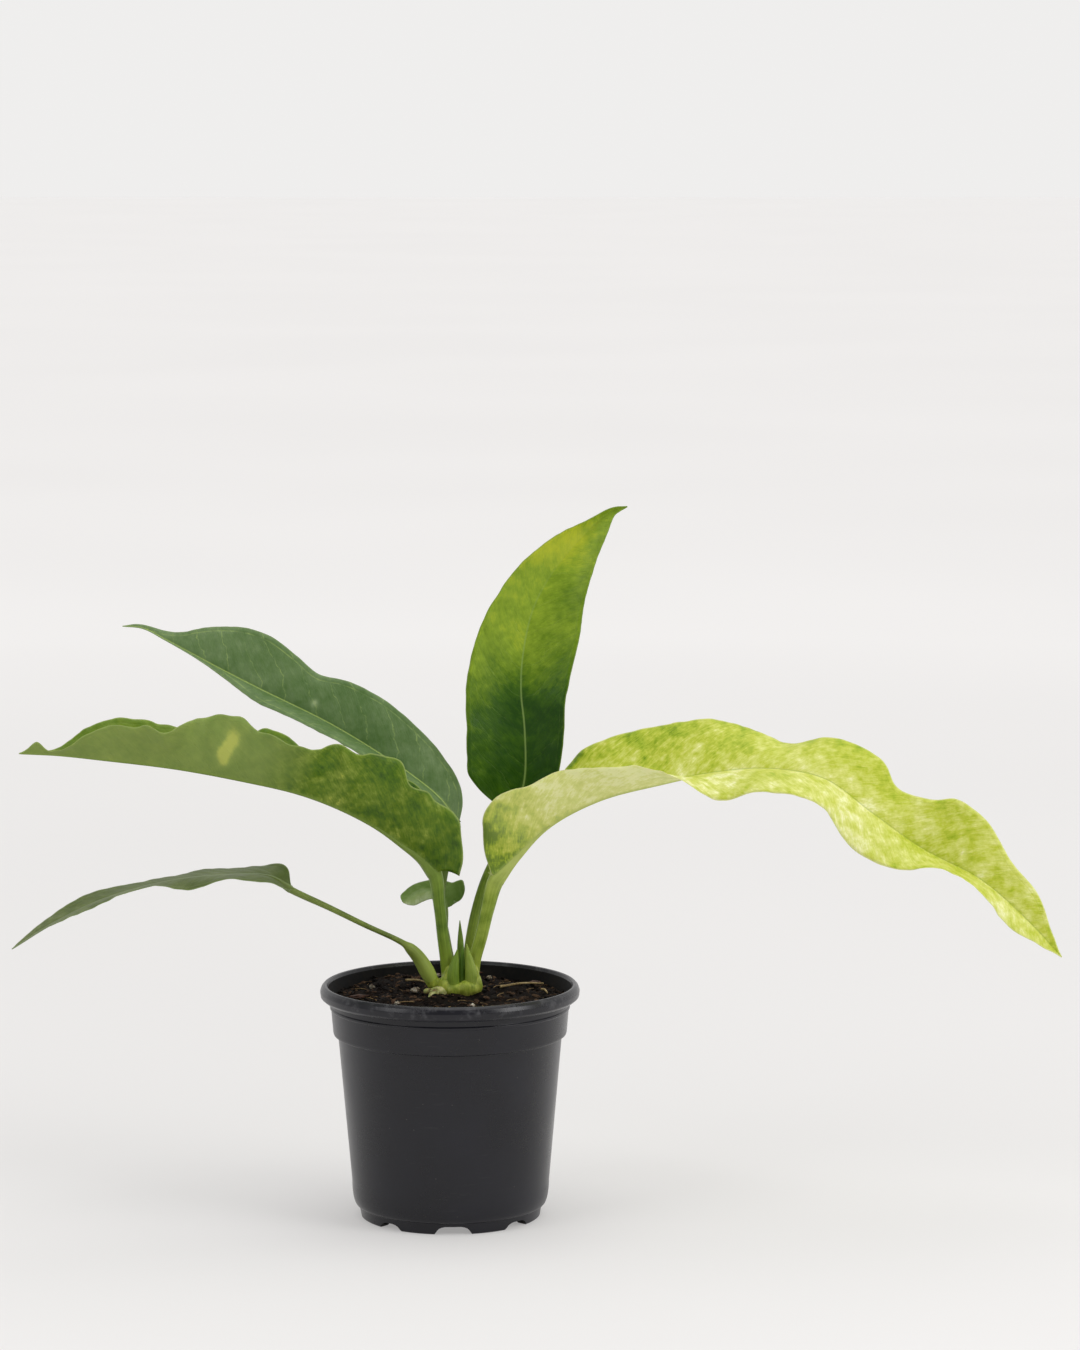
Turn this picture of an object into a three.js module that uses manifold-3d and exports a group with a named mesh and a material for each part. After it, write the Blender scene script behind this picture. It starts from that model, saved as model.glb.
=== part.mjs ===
// Potted foliage anthurium: nursery pot, peat, crown with roots, six petioles, six blades, loose grit.
// Millimetres, +Z up. The origin is the centre of the pot's base, and the plant's parts are placed
// from the crown's foot, which stands at the level of the peat.
import * as THREE from "three";
import { mergeVertices } from "three/addons/utils/BufferGeometryUtils.js";
import Module from "manifold-3d";

const wasm = await Module();
wasm.setup();

// Pot
const potHeight = 136;
const lipDiameter = 150;
const wall = 1.4;
const lipHeight = 9;
const lipOverhang = 6;
const lipRoll = 4.6;
const collarHeight = 20;
const collarTaper = 1.5;
const collarStep = 2.8;
const bodyTaper = 7.4;
const heelHeight = 21;
const heelInset = 3.2;
const footHeight = 7;
const footInset = 1.6;
const footWidth = 7;
const padRadius = 22;
const floorRise = 4;
const notchCount = 8;
const notchWidth = 18;
const notchHeight = 4.2;
const potSides = 40;

// Peat
const peatBelowRim = 6;
const peatEdgeDrop = 2.5;
const peatUnevenness = 1.2;
const peatRings = 7;
const peatSides = 32;

// Plant
const crownWidth = 24;
const crownDepth = 29;
const crownAbovePeat = 12;
const crownBelowPeat = 15;
const crownPlace = new THREE.Vector2(6, 10);
const rootDiameter = 5;
const rootCount = 6;
const rootReach = 34;
const rootDepth = 62;
const nubDiameter = 6;
const petioleWidening = 1;
const spreadHeight = 50;
const bladeThickness = 1;
const lobeShare = 0.03;
const stalkSides = 8;
const grownGap = 0.3;

// Heights and radii that follow from them
const lipRadius = lipDiameter / 2;
const lipBottom = potHeight - lipHeight;
const collarBottom = lipBottom - collarHeight;
const collarTopRadius = lipRadius - lipOverhang;
const collarBottomRadius = collarTopRadius - collarTaper;
const bodyTopRadius = collarBottomRadius - collarStep;
const bodyBottomRadius = bodyTopRadius - bodyTaper;
const heelRadius = bodyBottomRadius - heelInset;
const footRadius = heelRadius - footInset;
const footInnerRadius = footRadius - footWidth;
const peatLevel = potHeight - peatBelowRim;
const peatRadius = collarTopRadius - wall - grownGap;

// A leaf's rib is a list of points from the crown's foot. Each half is a list of rows:
// share of the rib, width, angle of the blade at the rib, angle of its edge. Angles turn about the
// rib, from 0 towards the front (-Y) to 90 upward, and turn is -1 where the leaf grows to -X.
// A half's lobe is how far its base corner reaches back past the rib's start.
const leaves = [
  {
    name: "right",
    turn: 1,
    colour: "#a3b532",
    stations: 30,
    lobes: { near: 0, far: 0 },
    petiole: [[12, 6, 4], [14, 6, 18], [18, 6, 32], [22, 5, 49]],
    radii: [[0, 4.3], [0.3, 3.7], [0.7, 3.8], [1, 4.8]],
    rib: [[27, 4, 66], [38, 2, 80], [56, 0, 98], [86, -4, 114], [122, -9, 124], [152, -15, 131],
      [184, -22, 134], [214, -29, 129], [240, -37, 111], [268, -46, 92], [300, -56, 76],
      [325, -64, 55], [345, -70, 34]],
    near: [[0, 4, 50, 60], [0.03, 18, 50, 78], [0.06, 29, 45, 79], [0.09, 34, 45, 74],
      [0.13, 32, 40, 59], [0.18, 34, 36, 52], [0.24, 32, 28, 37], [0.3, 32, 18, 28], [0.35, 31, 8, 8],
      [0.4, 31, 0, -22], [0.47, 31, -2, -17], [0.53, 31, -6, -19], [0.6, 28, -15, -30],
      [0.66, 29, -25, -48], [0.72, 26, -25, -40], [0.78, 20, -20, -10], [0.86, 17, -15, -18],
      [0.92, 15, -25, -38], [0.96, 8, -30, -40], [1, 1, -30, -40]],
    far: [[0, 4, 170, 170], [0.05, 13, 168, 170], [0.1, 25, 150, 162], [0.15, 33, 140, 150],
      [0.2, 40, 135, 139], [0.31, 40, 128, 134], [0.38, 38, 126, 135], [0.43, 33, 126, 142],
      [0.49, 26, 125, 152], [0.54, 29, 120, 134], [0.6, 30, 115, 118], [0.65, 22, 112, 117],
      [0.7, 26, 105, 106], [0.74, 34, 100, 101], [0.8, 31, 98, 102], [0.85, 19, 98, 102],
      [0.91, 15, 97, 99], [0.96, 6, 97, 98], [1, 1, 97, 97]],
  },
  {
    name: "upright",
    turn: 1,
    colour: "#4b7a24",
    stations: 22,
    lobes: { near: 0, far: 0 },
    petiole: [[10, 15, 4], [11, 18, 20], [14, 23, 40], [20, 29, 61], [29, 34, 80]],
    radii: [[0, 4], [0.3, 3.2], [0.7, 2.6], [1, 3]],
    rib: [[37, 37, 97], [43, 39, 120], [43, 41, 149], [41, 43, 170], [42, 46, 191], [48, 49, 218],
      [60, 53, 240], [78, 57, 261], [93, 59, 274], [103, 60, 277]],
    near: [[0, 3, 80, 80], [0.02, 12, 85, 80], [0.045, 24, 85, 79], [0.08, 32, 85, 77],
      [0.13, 35, 85, 75], [0.285, 35, 84, 72], [0.4, 33, 82, 70], [0.52, 29, 82, 69],
      [0.62, 23, 80, 68], [0.71, 19, 80, 65], [0.82, 12, 80, 59], [0.91, 5, 70, 47], [1, 1, 60, 47]],
    far: [[0, 3, -85, -80], [0.03, 10, -85, -78], [0.08, 16, -86, -76], [0.13, 20, -86, -72],
      [0.2, 23, -85, -71], [0.3, 26, -85, -72], [0.42, 30, -85, -75], [0.57, 31, -85, -76],
      [0.72, 24, -84, -70], [0.83, 16, -80, -63], [0.91, 9, -75, -62], [0.96, 3, -70, -66],
      [1, 1, -70, -66]],
  },
  {
    name: "back_left",
    turn: -1,
    colour: "#4c7344",
    stations: 22,
    lobes: { near: 0, far: 0 },
    petiole: [[1, 17, 4], [-3, 20, 27], [-6, 21, 50], [-2, 22, 76]],
    radii: [[0, 3.9], [0.3, 3], [0.7, 2.6], [1, 3]],
    rib: [[3, 22, 95], [-6, 26, 109], [-22, 32, 122], [-41, 38, 134], [-71, 46, 151],
      [-112, 56, 170], [-141, 63, 184], [-167, 70, 197], [-182, 74, 204], [-194, 76, 205]],
    near: [[0, 3, -20, -36], [0.05, 10, -12, -28], [0.1, 15, -5, -20], [0.2, 21, 0, -9],
      [0.32, 22, 0, -9], [0.42, 20, 0, -13], [0.51, 17, -5, -17], [0.58, 14, -10, -25],
      [0.66, 8, -15, -35], [0.74, 4, -10, -30], [0.82, 2, 0, -20], [1, 1, 0, 0]],
    far: [[0, 3, 125, 129], [0.04, 11, 118, 120], [0.1, 18, 112, 118], [0.19, 24, 108, 115],
      [0.32, 29, 104, 112], [0.42, 28, 104, 112], [0.495, 24, 104, 114], [0.57, 28, 104, 111],
      [0.65, 31, 104, 109], [0.73, 28, 104, 109], [0.81, 18, 106, 112], [0.86, 9, 112, 125],
      [0.92, 4, 118, 135], [1, 1, 118, 135]],
  },
  {
    name: "front_left",
    turn: -1,
    colour: "#4d7a2c",
    stations: 28,
    lobes: { near: 8, far: 0 },
    petiole: [[0, 6, 4], [-2, 5, 18], [-4, 4, 32], [-6, 3, 50]],
    radii: [[0, 4.5], [0.3, 3.6], [0.7, 3.4], [1, 4.4]],
    rib: [[-9, 2, 70], [-16, 0, 79], [-27, -3, 88], [-42, -7, 99], [-64, -13, 111], [-86, -19, 120],
      [-115, -27, 128], [-152, -34, 136], [-195, -40, 142], [-221, -43, 145], [-242, -45, 146]],
    near: [[0, 14, 45, 52], [0.015, 21, 45, 60], [0.035, 28, 45, 67], [0.06, 35, 48, 70],
      [0.13, 35, 52, 74], [0.18, 36, 55, 67], [0.215, 41, 55, 77], [0.25, 41, 55, 76],
      [0.29, 37, 55, 68], [0.33, 37, 58, 80], [0.37, 33, 58, 64], [0.43, 31, 58, 61],
      [0.49, 32, 60, 72], [0.57, 37, 62, 82], [0.625, 33, 62, 78], [0.68, 30, 60, 50],
      [0.75, 28, 60, 56], [0.81, 23, 60, 62], [0.86, 18, 58, 54], [0.91, 7, 55, 35],
      [0.935, 3, 55, 50], [0.96, 7, 60, 74], [0.98, 4, 60, 72], [1, 1, 60, 72]],
    far: [[0, 4, 136, 136], [0.02, 20, 134, 130], [0.05, 30, 130, 124], [0.13, 35, 126, 123],
      [0.2, 35, 124, 127], [0.28, 33, 122, 131], [0.34, 28, 120, 136], [0.41, 32, 118, 126],
      [0.46, 34, 118, 121], [0.51, 31, 120, 134], [0.58, 29, 120, 138], [0.65, 27, 118, 133],
      [0.72, 27, 116, 124], [0.79, 26, 114, 121], [0.86, 18, 114, 126], [0.9, 8, 114, 134],
      [0.93, 3, 114, 134], [1, 1, 114, 120]],
  },
  {
    name: "low_left",
    turn: -1,
    colour: "#5d7f48",
    stations: 20,
    lobes: { near: 0, far: 0 },
    petiole: [[-9, 3, 4], [-13, 1, 12], [-18, -1, 21], [-24, -4, 28], [-30, -5, 32], [-48, -8, 41],
      [-69, -11, 52]],
    radii: [[0, 3.4], [0.08, 4.4], [0.15, 4.2], [0.26, 3.2], [0.31, 1.8], [0.6, 1.6], [1, 2]],
    rib: [[-91, -14, 63], [-103, -17, 71], [-131, -23, 73], [-164, -30, 70], [-198, -38, 61],
      [-226, -45, 48], [-247, -50, 35]],
    near: [[0, 2, -8, -8], [0.05, 8, 0, -8], [0.15, 15, 5, -7], [0.25, 18, 5, 1],
      [0.38, 18, 0, -14], [0.5, 15, 5, 5], [0.72, 17, 5, -2], [0.82, 16, 5, 1], [0.91, 10, 5, 5],
      [1, 1, 5, 5]],
    far: [[0, 3, 155, 150], [0.04, 13, 150, 146], [0.09, 18, 165, 172], [0.21, 18, 175, 178],
      [0.3, 17, 178, 177], [0.38, 13, 178, 179], [0.5, 11, 178, 175], [0.65, 14, 168, 165],
      [0.76, 12, 165, 160], [0.88, 8, 163, 163], [1, 1, 163, 163]],
  },
  {
    name: "young",
    turn: -1,
    colour: "#6d8f55",
    stations: 12,
    lobes: { near: 0, far: -3 },
    petiole: [[2, 23, 4], [-1, 26, 16], [-3, 30, 29]],
    radii: [[0, 1.8], [0.5, 1.4], [1, 1.3]],
    rib: [[-3, 33, 44], [-5, 34, 50], [-10, 35, 54], [-19, 34, 54], [-28, 30, 48]],
    near: [[0, 2, -60, -60], [0.15, 5, -50, -50], [0.4, 8, -20, -30], [0.7, 8, -20, -50],
      [0.9, 7, -30, -50], [1, 2, -30, -50]],
    far: [[0, 6, 82, 82], [0.07, 9.5, 85, 85], [0.13, 12.5, 87, 87], [0.18, 15, 88, 88], [0.22, 15.5, 90, 90],
      [0.26, 10, 96, 96], [0.5, 6, 120, 125], [0.8, 5.5, 130, 135], [0.93, 5, 130, 135], [1, 2, 130, 135]],
  },
];

// Scales and the new spear at the crown: a path, radii along it, and how flat the section is.
const scales = [
  {
    name: "new_spear",
    colour: "#3f6d1e",
    path: [[6.8, 0.8, 3], [6.8, 1.4, 15], [7.5, 3.5, 28]],
    radii: [[0, 2.6], [0.6, 2.2], [1, 0.5]],
    flat: 1,
  },
  {
    name: "scale_left",
    colour: "#8aa63f",
    path: [[2.2, -2.4, 2], [2, -2.4, 12], [4.5, -0.4, 26]],
    radii: [[0, 3.6], [0.5, 3.2], [1, 0.6]],
    flat: 0.3,
  },
  {
    name: "scale_right",
    colour: "#8aa63f",
    path: [[12, -2.2, 2], [12, -2.2, 13], [9.6, 0.2, 29]],
    radii: [[0, 3.6], [0.5, 3], [1, 0.6]],
    flat: 0.3,
  },
  {
    name: "scale_back",
    colour: "#7c9a3c",
    path: [[6, 9.6, 5], [6, 9.4, 24], [5.6, 9, 41]],
    radii: [[0, 2.2], [0.6, 1.9], [1, 0.5]],
    flat: 0.5,
  },
];

const leafCurve = (points) => new THREE.CatmullRomCurve3(points.map((point) => new THREE.Vector3(...point)));

// Value of one column of a list of rows at a share, along a smooth curve through the rows.
function columnAt(rows, column, share) {
  const last = rows.length - 1;
  const slope = (k) => {
    const before = rows[Math.max(k - 1, 0)];
    const after = rows[Math.min(k + 1, last)];
    return (after[column] - before[column]) / (after[0] - before[0]);
  };
  let k = 0;
  while (k < last - 1 && rows[k + 1][0] <= share) k += 1;
  const span = rows[k + 1][0] - rows[k][0];
  const t = THREE.MathUtils.clamp((share - rows[k][0]) / span, 0, 1);
  const rise = rows[k + 1][column] - rows[k][column];
  const ease = t * t * (3 - 2 * t);
  const bend = t * (1 - t) * ((1 - t) * slope(k) - t * slope(k + 1)) * span;
  return rows[k][column] + ease * rise + bend;
}

// Closed body from rings with equal counts of points; the end rings are closed with fans.
function loft(rings) {
  const count = rings[0].length;
  const positions = rings.flat().flatMap((point) => point.toArray());
  const index = [];
  for (let ring = 0; ring < rings.length - 1; ring += 1) {
    for (let k = 0; k < count; k += 1) {
      const a = ring * count + k;
      const b = ring * count + ((k + 1) % count);
      index.push(a, b, a + count, b, b + count, a + count);
    }
  }
  return { positions, index, count };
}

function geometryOf(positions, index) {
  const geometry = new THREE.BufferGeometry();
  geometry.setAttribute("position", new THREE.Float32BufferAttribute(positions, 3));
  geometry.setIndex(index);
  return geometry;
}

// Across and up directions at a place on a stalk or rib.
function sectionFrame(tangent) {
  const front = new THREE.Vector3(0, -1, 0).addScaledVector(tangent, tangent.y).normalize();
  return { front, side: new THREE.Vector3().crossVectors(front, tangent) };
}

// Round or flattened stalk along a path, thicker by grow all round.
function stalk(path, radii, flat, stations, grow) {
  const rings = [];
  for (let k = 0; k <= stations; k += 1) {
    const share = k / stations;
    const tangent = path.getTangentAt(share);
    const end = k === 0 ? -grow : k === stations ? grow : 0;
    const centre = path.getPointAt(share).addScaledVector(tangent, end);
    const { front, side } = sectionFrame(tangent);
    const radius = columnAt(radii, 1, share) * petioleWidening;
    const ring = [];
    for (let turn = 0; turn < stalkSides; turn += 1) {
      const angle = (turn / stalkSides) * 2 * Math.PI;
      const point = centre.clone().addScaledVector(side, Math.cos(angle) * (radius + grow));
      ring.push(point.addScaledVector(front, Math.sin(angle) * (radius * flat + grow)));
    }
    rings.push(ring);
  }
  const { positions, index, count } = loft(rings);
  const top = (rings.length - 1) * count;
  for (let k = 1; k < count - 1; k += 1) {
    index.push(0, k + 1, k);
    index.push(top, top + k, top + k + 1);
  }
  return geometryOf(positions, index);
}

// Point of a leaf's half at a share of the rib and a share of the width.
function halfPoint(leaf, rib, half, share, out) {
  const tangent = rib.getTangentAt(share);
  const { front, side } = sectionFrame(tangent);
  const direction = (degrees) => {
    const angle = THREE.MathUtils.degToRad(degrees);
    return front.clone().multiplyScalar(Math.cos(angle)).addScaledVector(side, Math.sin(angle) * leaf.turn);
  };
  const width = columnAt(leaf[half], 1, share);
  const atRib = direction(columnAt(leaf[half], 2, share));
  const atEdge = direction(columnAt(leaf[half], 3, share));
  const point = rib.getPointAt(share);
  point.addScaledVector(atRib, width * out * (1 - out));
  point.addScaledVector(tangent, -leaf.lobes[half] * out ** 4 * Math.exp(-share / lobeShare));
  return point.addScaledVector(atEdge, width * out * out);
}

// Blade with both halves as one thin closed body, with a ridge under the rib.
function blade(leaf) {
  const rib = leafCurve(leaf.rib);
  const shares = [1, 0.72, 0.42, 0.14];
  const across = [...shares.map((out) => ["near", out]), ["near", 0]];
  across.push(...shares.toReversed().map((out) => ["far", out]));
  const grid = [];
  for (let k = 0; k <= leaf.stations; k += 1) {
    const share = k / leaf.stations;
    grid.push(across.map(([half, out]) => halfPoint(leaf, rib, half, share, out)));
  }
  const last = across.length - 1;
  // The upper side is the one the two halves fold towards.
  const facing = leaf.turn * Math.sign(leaf.near[0][2] - leaf.far[0][2]);
  const rings = grid.map((row, k) => {
    const ahead = grid[Math.min(k + 1, leaf.stations)];
    const behind = grid[Math.max(k - 1, 0)];
    const upper = [];
    const lower = [];
    row.forEach((point, j) => {
      const along = ahead[j].clone().sub(behind[j]);
      const sideways = row[Math.min(j + 1, last)].clone().sub(row[Math.max(j - 1, 0)]);
      const normal = new THREE.Vector3().crossVectors(sideways, along).normalize().multiplyScalar(facing);
      const ridge = across[j][1] === 0 ? 2 * (1 - k / leaf.stations) : 0;
      upper.push(point.clone().addScaledVector(normal, bladeThickness / 2));
      lower.push(point.clone().addScaledVector(normal, -bladeThickness / 2 - ridge));
    });
    return [...upper, ...lower.toReversed()];
  });
  const { positions, index, count } = loft(rings);
  const top = (rings.length - 1) * count;
  for (let j = 0; j < last; j += 1) {
    const back = count - 1 - j;
    index.push(j, back, j + 1, j + 1, back, back - 1);
    index.push(top + j, top + j + 1, top + back, top + j + 1, top + back - 1, top + back);
  }
  return geometryOf(positions, facing > 0 ? index : index.toReversed());
}

// A stalk's point near the crown, moved out from its middle as the stalks widen.
function spread([x, y, z]) {
  const share = 1 + (petioleWidening - 1) * Math.max(0, 1 - z / spreadHeight);
  return [crownPlace.x + (x - crownPlace.x) * share, crownPlace.y + (y - crownPlace.y) * share, z];
}

// Petiole's path: from the crown to just short of the blade, arriving along the rib.
function petiolePath(leaf) {
  const rib = leafCurve(leaf.rib);
  const start = rib.getPointAt(0);
  const tangent = rib.getTangentAt(0);
  const before = (length) => start.clone().addScaledVector(tangent, -length).toArray();
  return leafCurve([...leaf.petiole.map(spread), before(grownGap + 6), before(grownGap)]);
}

function petiole(leaf, grow) {
  return stalk(petiolePath(leaf), leaf.radii, 1, 4 + 2 * leaf.petiole.length, grow);
}

function scale(one, grow) {
  return stalk(leafCurve(one.path.map(spread)), one.radii, one.flat, 7, grow);
}

// Rounded crown with roots that spread and dip into the peat and one root nub that shows above it,
// thicker by grow all round.
function crown(grow) {
  const half = (crownAbovePeat + crownBelowPeat) / 2;
  const middle = (crownAbovePeat - crownBelowPeat) / 2;
  const bulb = new THREE.SphereGeometry(1, 18, 12).rotateX(Math.PI / 2);
  bulb.scale(crownWidth / 2 + grow, crownDepth / 2 + grow, half + grow);
  bulb.translate(crownPlace.x, crownPlace.y, middle);
  let whole = toSolid(bulb);
  for (let k = 0; k < rootCount; k += 1) {
    const angle = ((k + 0.35 * (k % 2)) / rootCount) * 2 * Math.PI;
    const reach = (share) => crownPlace.toArray().map((place, axis) => {
      const swing = axis === 0 ? Math.cos(angle) : Math.sin(angle);
      return place + swing * rootReach * share;
    });
    const depth = rootDepth * (1 - 0.12 * (k % 3));
    const path = leafCurve([
      [...reach(0.15), -crownBelowPeat / 2],
      [...reach(0.55), -crownBelowPeat - depth * 0.12],
      [...reach(0.85), -crownBelowPeat - depth * 0.45],
      [...reach(1), -crownBelowPeat - depth],
    ]);
    const radii = [[0, rootDiameter / 2], [0.6, rootDiameter * 0.42], [1, rootDiameter * 0.25]];
    whole = whole.add(toSolid(stalk(path, radii, 1, 8, grow)));
  }
  const nub = leafCurve([[0, 2, -2], [-6, -4, 2], [-11, -9, 2.5]]);
  const nubRadii = [[0, nubDiameter / 2], [0.7, nubDiameter / 2], [1, nubDiameter * 0.3]];
  return whole.add(toSolid(stalk(nub, nubRadii, 1, 5, grow)));
}

function toSolid(geometry) {
  const plain = geometry.clone();
  plain.deleteAttribute("normal");
  plain.deleteAttribute("uv");
  const merged = mergeVertices(plain, 0.0001);
  const vertProperties = new Float32Array(merged.attributes.position.array);
  const triVerts = new Uint32Array(merged.index.array);
  return new wasm.Manifold(new wasm.Mesh({ numProp: 3, vertProperties, triVerts }));
}

function toGeometry(solid) {
  const mesh = solid.getMesh();
  return geometryOf(Array.from(mesh.vertProperties), Array.from(mesh.triVerts));
}

// Closed turned body from a profile of [radius, height] that starts and ends on the axis.
function turned(profile, sides) {
  const points = profile.map(([radius, height]) => new THREE.Vector2(radius, height));
  return new THREE.LatheGeometry(points, sides).rotateX(Math.PI / 2);
}

// Heel's quarter-round, from the foot up to the body, moved inward by inset.
function heelArc(inset) {
  const steps = 4;
  const rows = [];
  for (let k = 0; k <= steps; k += 1) {
    const angle = (k / steps) * (Math.PI / 2);
    const radius = heelRadius + heelInset * Math.sin(angle);
    const height = heelHeight - (heelHeight - footHeight) * Math.cos(angle);
    rows.push([radius - inset, height]);
  }
  return rows;
}

function potOutside() {
  return [
    [0, 0],
    [padRadius, 0],
    [padRadius + 1.5, floorRise],
    [footInnerRadius - 1, floorRise],
    [footInnerRadius, 0],
    [footRadius - 1.2, 0],
    [footRadius, 1.2],
    [footRadius + 0.4, footHeight - 0.6],
    ...heelArc(0),
    [bodyTopRadius, collarBottom - 0.6],
    [collarBottomRadius - 0.5, collarBottom],
    [collarBottomRadius, collarBottom + 0.8],
    [collarTopRadius, lipBottom],
    [lipRadius - 2.4, lipBottom + 0.4],
    [lipRadius - 0.5, lipBottom + lipHeight * 0.22],
    [lipRadius, lipBottom + lipHeight * 0.55],
    [lipRadius - 0.8, lipBottom + lipHeight * 0.82],
    [lipRadius - lipRoll * 0.5, potHeight],
    [lipRadius - lipRoll * 0.8, potHeight - 0.4],
  ];
}

function potInside() {
  return [
    [lipRadius - lipRoll, potHeight - 2],
    [collarTopRadius - wall, lipBottom],
    [collarBottomRadius - wall, collarBottom + 0.8],
    [bodyTopRadius - wall, collarBottom - 1.6],
    ...heelArc(wall).toReversed().slice(0, 4),
    [footRadius + 0.4 - wall, footHeight],
    [footRadius - wall, wall + 0.6],
    [footInnerRadius + wall, wall],
    [footInnerRadius + wall - 1, floorRise + wall],
    [padRadius + 1.5 - wall, floorRise + wall],
    [padRadius - wall, wall],
    [0, wall],
  ];
}

// One drain notch: a slot through the foot, narrower at its top.
function notchCutter() {
  const outline = new THREE.Shape();
  outline.moveTo(-notchWidth / 2 - 1.5, -1);
  outline.lineTo(notchWidth / 2 + 1.5, -1);
  outline.lineTo(notchWidth / 2 - 2.5, notchHeight);
  outline.lineTo(-notchWidth / 2 + 2.5, notchHeight);
  outline.closePath();
  const length = footWidth + 6;
  const cutter = new THREE.ExtrudeGeometry(outline, { depth: length, bevelEnabled: false });
  return cutter.rotateX(Math.PI / 2).translate(0, -footInnerRadius + 3, 0);
}

function pot() {
  let shell = toSolid(turned([...potOutside(), ...potInside()], potSides));
  for (let k = 0; k < notchCount; k += 1) {
    const cutter = notchCutter().rotateZ((k / notchCount) * 2 * Math.PI + 0.05);
    shell = shell.subtract(toSolid(cutter));
  }
  return toGeometry(shell);
}

// Height of the peat over a place, from the peat level: soft waves, lower at the wall.
function peatRise(x, y) {
  const out = Math.hypot(x, y) / peatRadius;
  const waves = Math.sin(x * 0.11 + 0.7) * Math.cos(y * 0.13 - 0.4) + 0.5 * Math.sin((x - y) * 0.21);
  const heap = 2.2 * Math.exp(-((x + 30) ** 2 + (y - 48) ** 2) / 500);
  return peatUnevenness * waves + heap - peatEdgeDrop * out * out;
}

// Peat fills the pot down to its floor and the dish of its centre pad, but not the foot's groove.
function peat() {
  const top = [];
  for (let ring = 0; ring <= peatRings; ring += 1) {
    top.push([peatRadius * (ring / peatRings), peatLevel]);
  }
  const profile = [
    [0, wall + grownGap],
    [padRadius - wall - grownGap, wall + grownGap],
    [padRadius - wall + 1.2 - grownGap, floorRise + wall + grownGap],
    [footInnerRadius - grownGap, floorRise + wall + grownGap],
    [heelRadius - wall - grownGap - 1.5, footHeight + wall],
    ...heelArc(wall + grownGap).slice(1),
    [bodyTopRadius - wall - grownGap, collarBottom - 1.6],
    [collarBottomRadius - wall - grownGap, collarBottom + 0.8 + grownGap],
    [peatRadius, lipBottom],
    ...top.toReversed(),
  ];
  const body = turned(profile, peatSides);
  const places = body.attributes.position;
  for (let k = 0; k < places.count; k += 1) {
    if (Math.abs(places.getZ(k) - peatLevel) < 0.01) {
      places.setZ(k, peatLevel + peatRise(places.getX(k), places.getY(k)));
    }
  }
  let fill = toSolid(body).subtract(crown(grownGap).translate(0, 0, peatLevel));
  leaves.forEach((leaf) => {
    fill = fill.subtract(toSolid(petiole(leaf, grownGap).translate(0, 0, peatLevel)));
  });
  scales.forEach((one) => {
    fill = fill.subtract(toSolid(scale(one, grownGap).translate(0, 0, peatLevel)));
  });
  return toGeometry(fill);
}

// Crown with a socket round each petiole, scale and spear.
function socketedCrown() {
  let body = crown(0);
  leaves.forEach((leaf) => {
    body = body.subtract(toSolid(petiole(leaf, grownGap)));
  });
  scales.forEach((one) => {
    body = body.subtract(toSolid(scale(one, grownGap)));
  });
  return toGeometry(body);
}

// Rough grain: a low-sided ball with each point pushed in or out by a fixed wave.
function grain(length, width, height, seed) {
  const ball = new THREE.IcosahedronGeometry(1, 1);
  const places = ball.attributes.position;
  for (let k = 0; k < places.count; k += 1) {
    const point = new THREE.Vector3().fromBufferAttribute(places, k);
    const push = 1 + 0.16 * Math.sin(5 * point.x + seed) * Math.cos(4 * point.y - seed + 3 * point.z);
    places.setXYZ(k, point.x * push, point.y * push, point.z * push);
  }
  return ball.scale(length / 2, width / 2, height / 2);
}

function material(colour, roughness) {
  return new THREE.MeshStandardMaterial({ color: colour, roughness, metalness: 0 });
}

function named(name, geometry, surface) {
  const mesh = new THREE.Mesh(geometry, surface);
  mesh.name = name;
  return mesh;
}

// Loose pieces that lie on the peat: [share of the peat's radius, bearing in degrees, length, width,
// height, turn in degrees].
const looseKinds = [
  {
    name: "perlite",
    colour: "#e4ded0",
    places: [[0.3, 172, 5, 4, 3.6, 0], [0.71, 163, 3.4, 3, 2.6, 40], [0.63, -71, 3, 2.8, 2.4, 0],
      [0.67, -131, 3.2, 2.6, 2.4, 20], [0.73, 63, 3.4, 3, 2.6, 70], [0.75, 99, 3, 2.6, 2.4, 10]],
  },
  {
    name: "bark_chip",
    colour: "#4a2f1f",
    places: [[0.79, -167, 11, 6, 3, 25], [0.84, -70, 9, 5, 3, 170], [0.79, -117, 10, 5, 3, 160],
      [0.84, 78, 12, 6, 3.4, 170], [0.85, 31, 9, 6, 3, 115]],
  },
  {
    name: "straw",
    colour: "#a8946a",
    places: [[0.68, 24, 28, 1.8, 1.6, -24], [0.82, 8, 11, 1.6, 1.4, 105],
      [0.44, 132, 16, 1.6, 1.4, 150]],
  },
];

function loosePieces() {
  const pieces = [];
  looseKinds.forEach((kind) => {
    kind.places.forEach(([share, bearing, length, width, height, degrees], k) => {
      const angle = THREE.MathUtils.degToRad(bearing);
      const x = share * peatRadius * Math.cos(angle);
      const y = share * peatRadius * Math.sin(angle);
      const name = kind.places.length > 1 ? `${kind.name}_${k + 1}` : kind.name;
      const piece = named(name, grain(length, width, height, k + bearing), material(kind.colour, 0.9));
      const lift = highestUnder(x, y, length / 2) + grownGap + height * 0.58;
      piece.position.set(x, y, peatLevel + lift);
      piece.rotation.z = THREE.MathUtils.degToRad(degrees);
      pieces.push(piece);
    });
  });
  return pieces;
}

// Highest peat within a radius of a place.
function highestUnder(x, y, radius) {
  let highest = peatRise(x, y);
  for (let k = 0; k < 8; k += 1) {
    const angle = (k / 8) * 2 * Math.PI;
    highest = Math.max(highest, peatRise(x + radius * Math.cos(angle), y + radius * Math.sin(angle)));
  }
  return highest;
}

const group = new THREE.Group();
group.add(named("pot", pot(), material("#26272b", 0.45)));
group.add(named("peat", peat(), material("#2b1c14", 0.95)));

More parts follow.
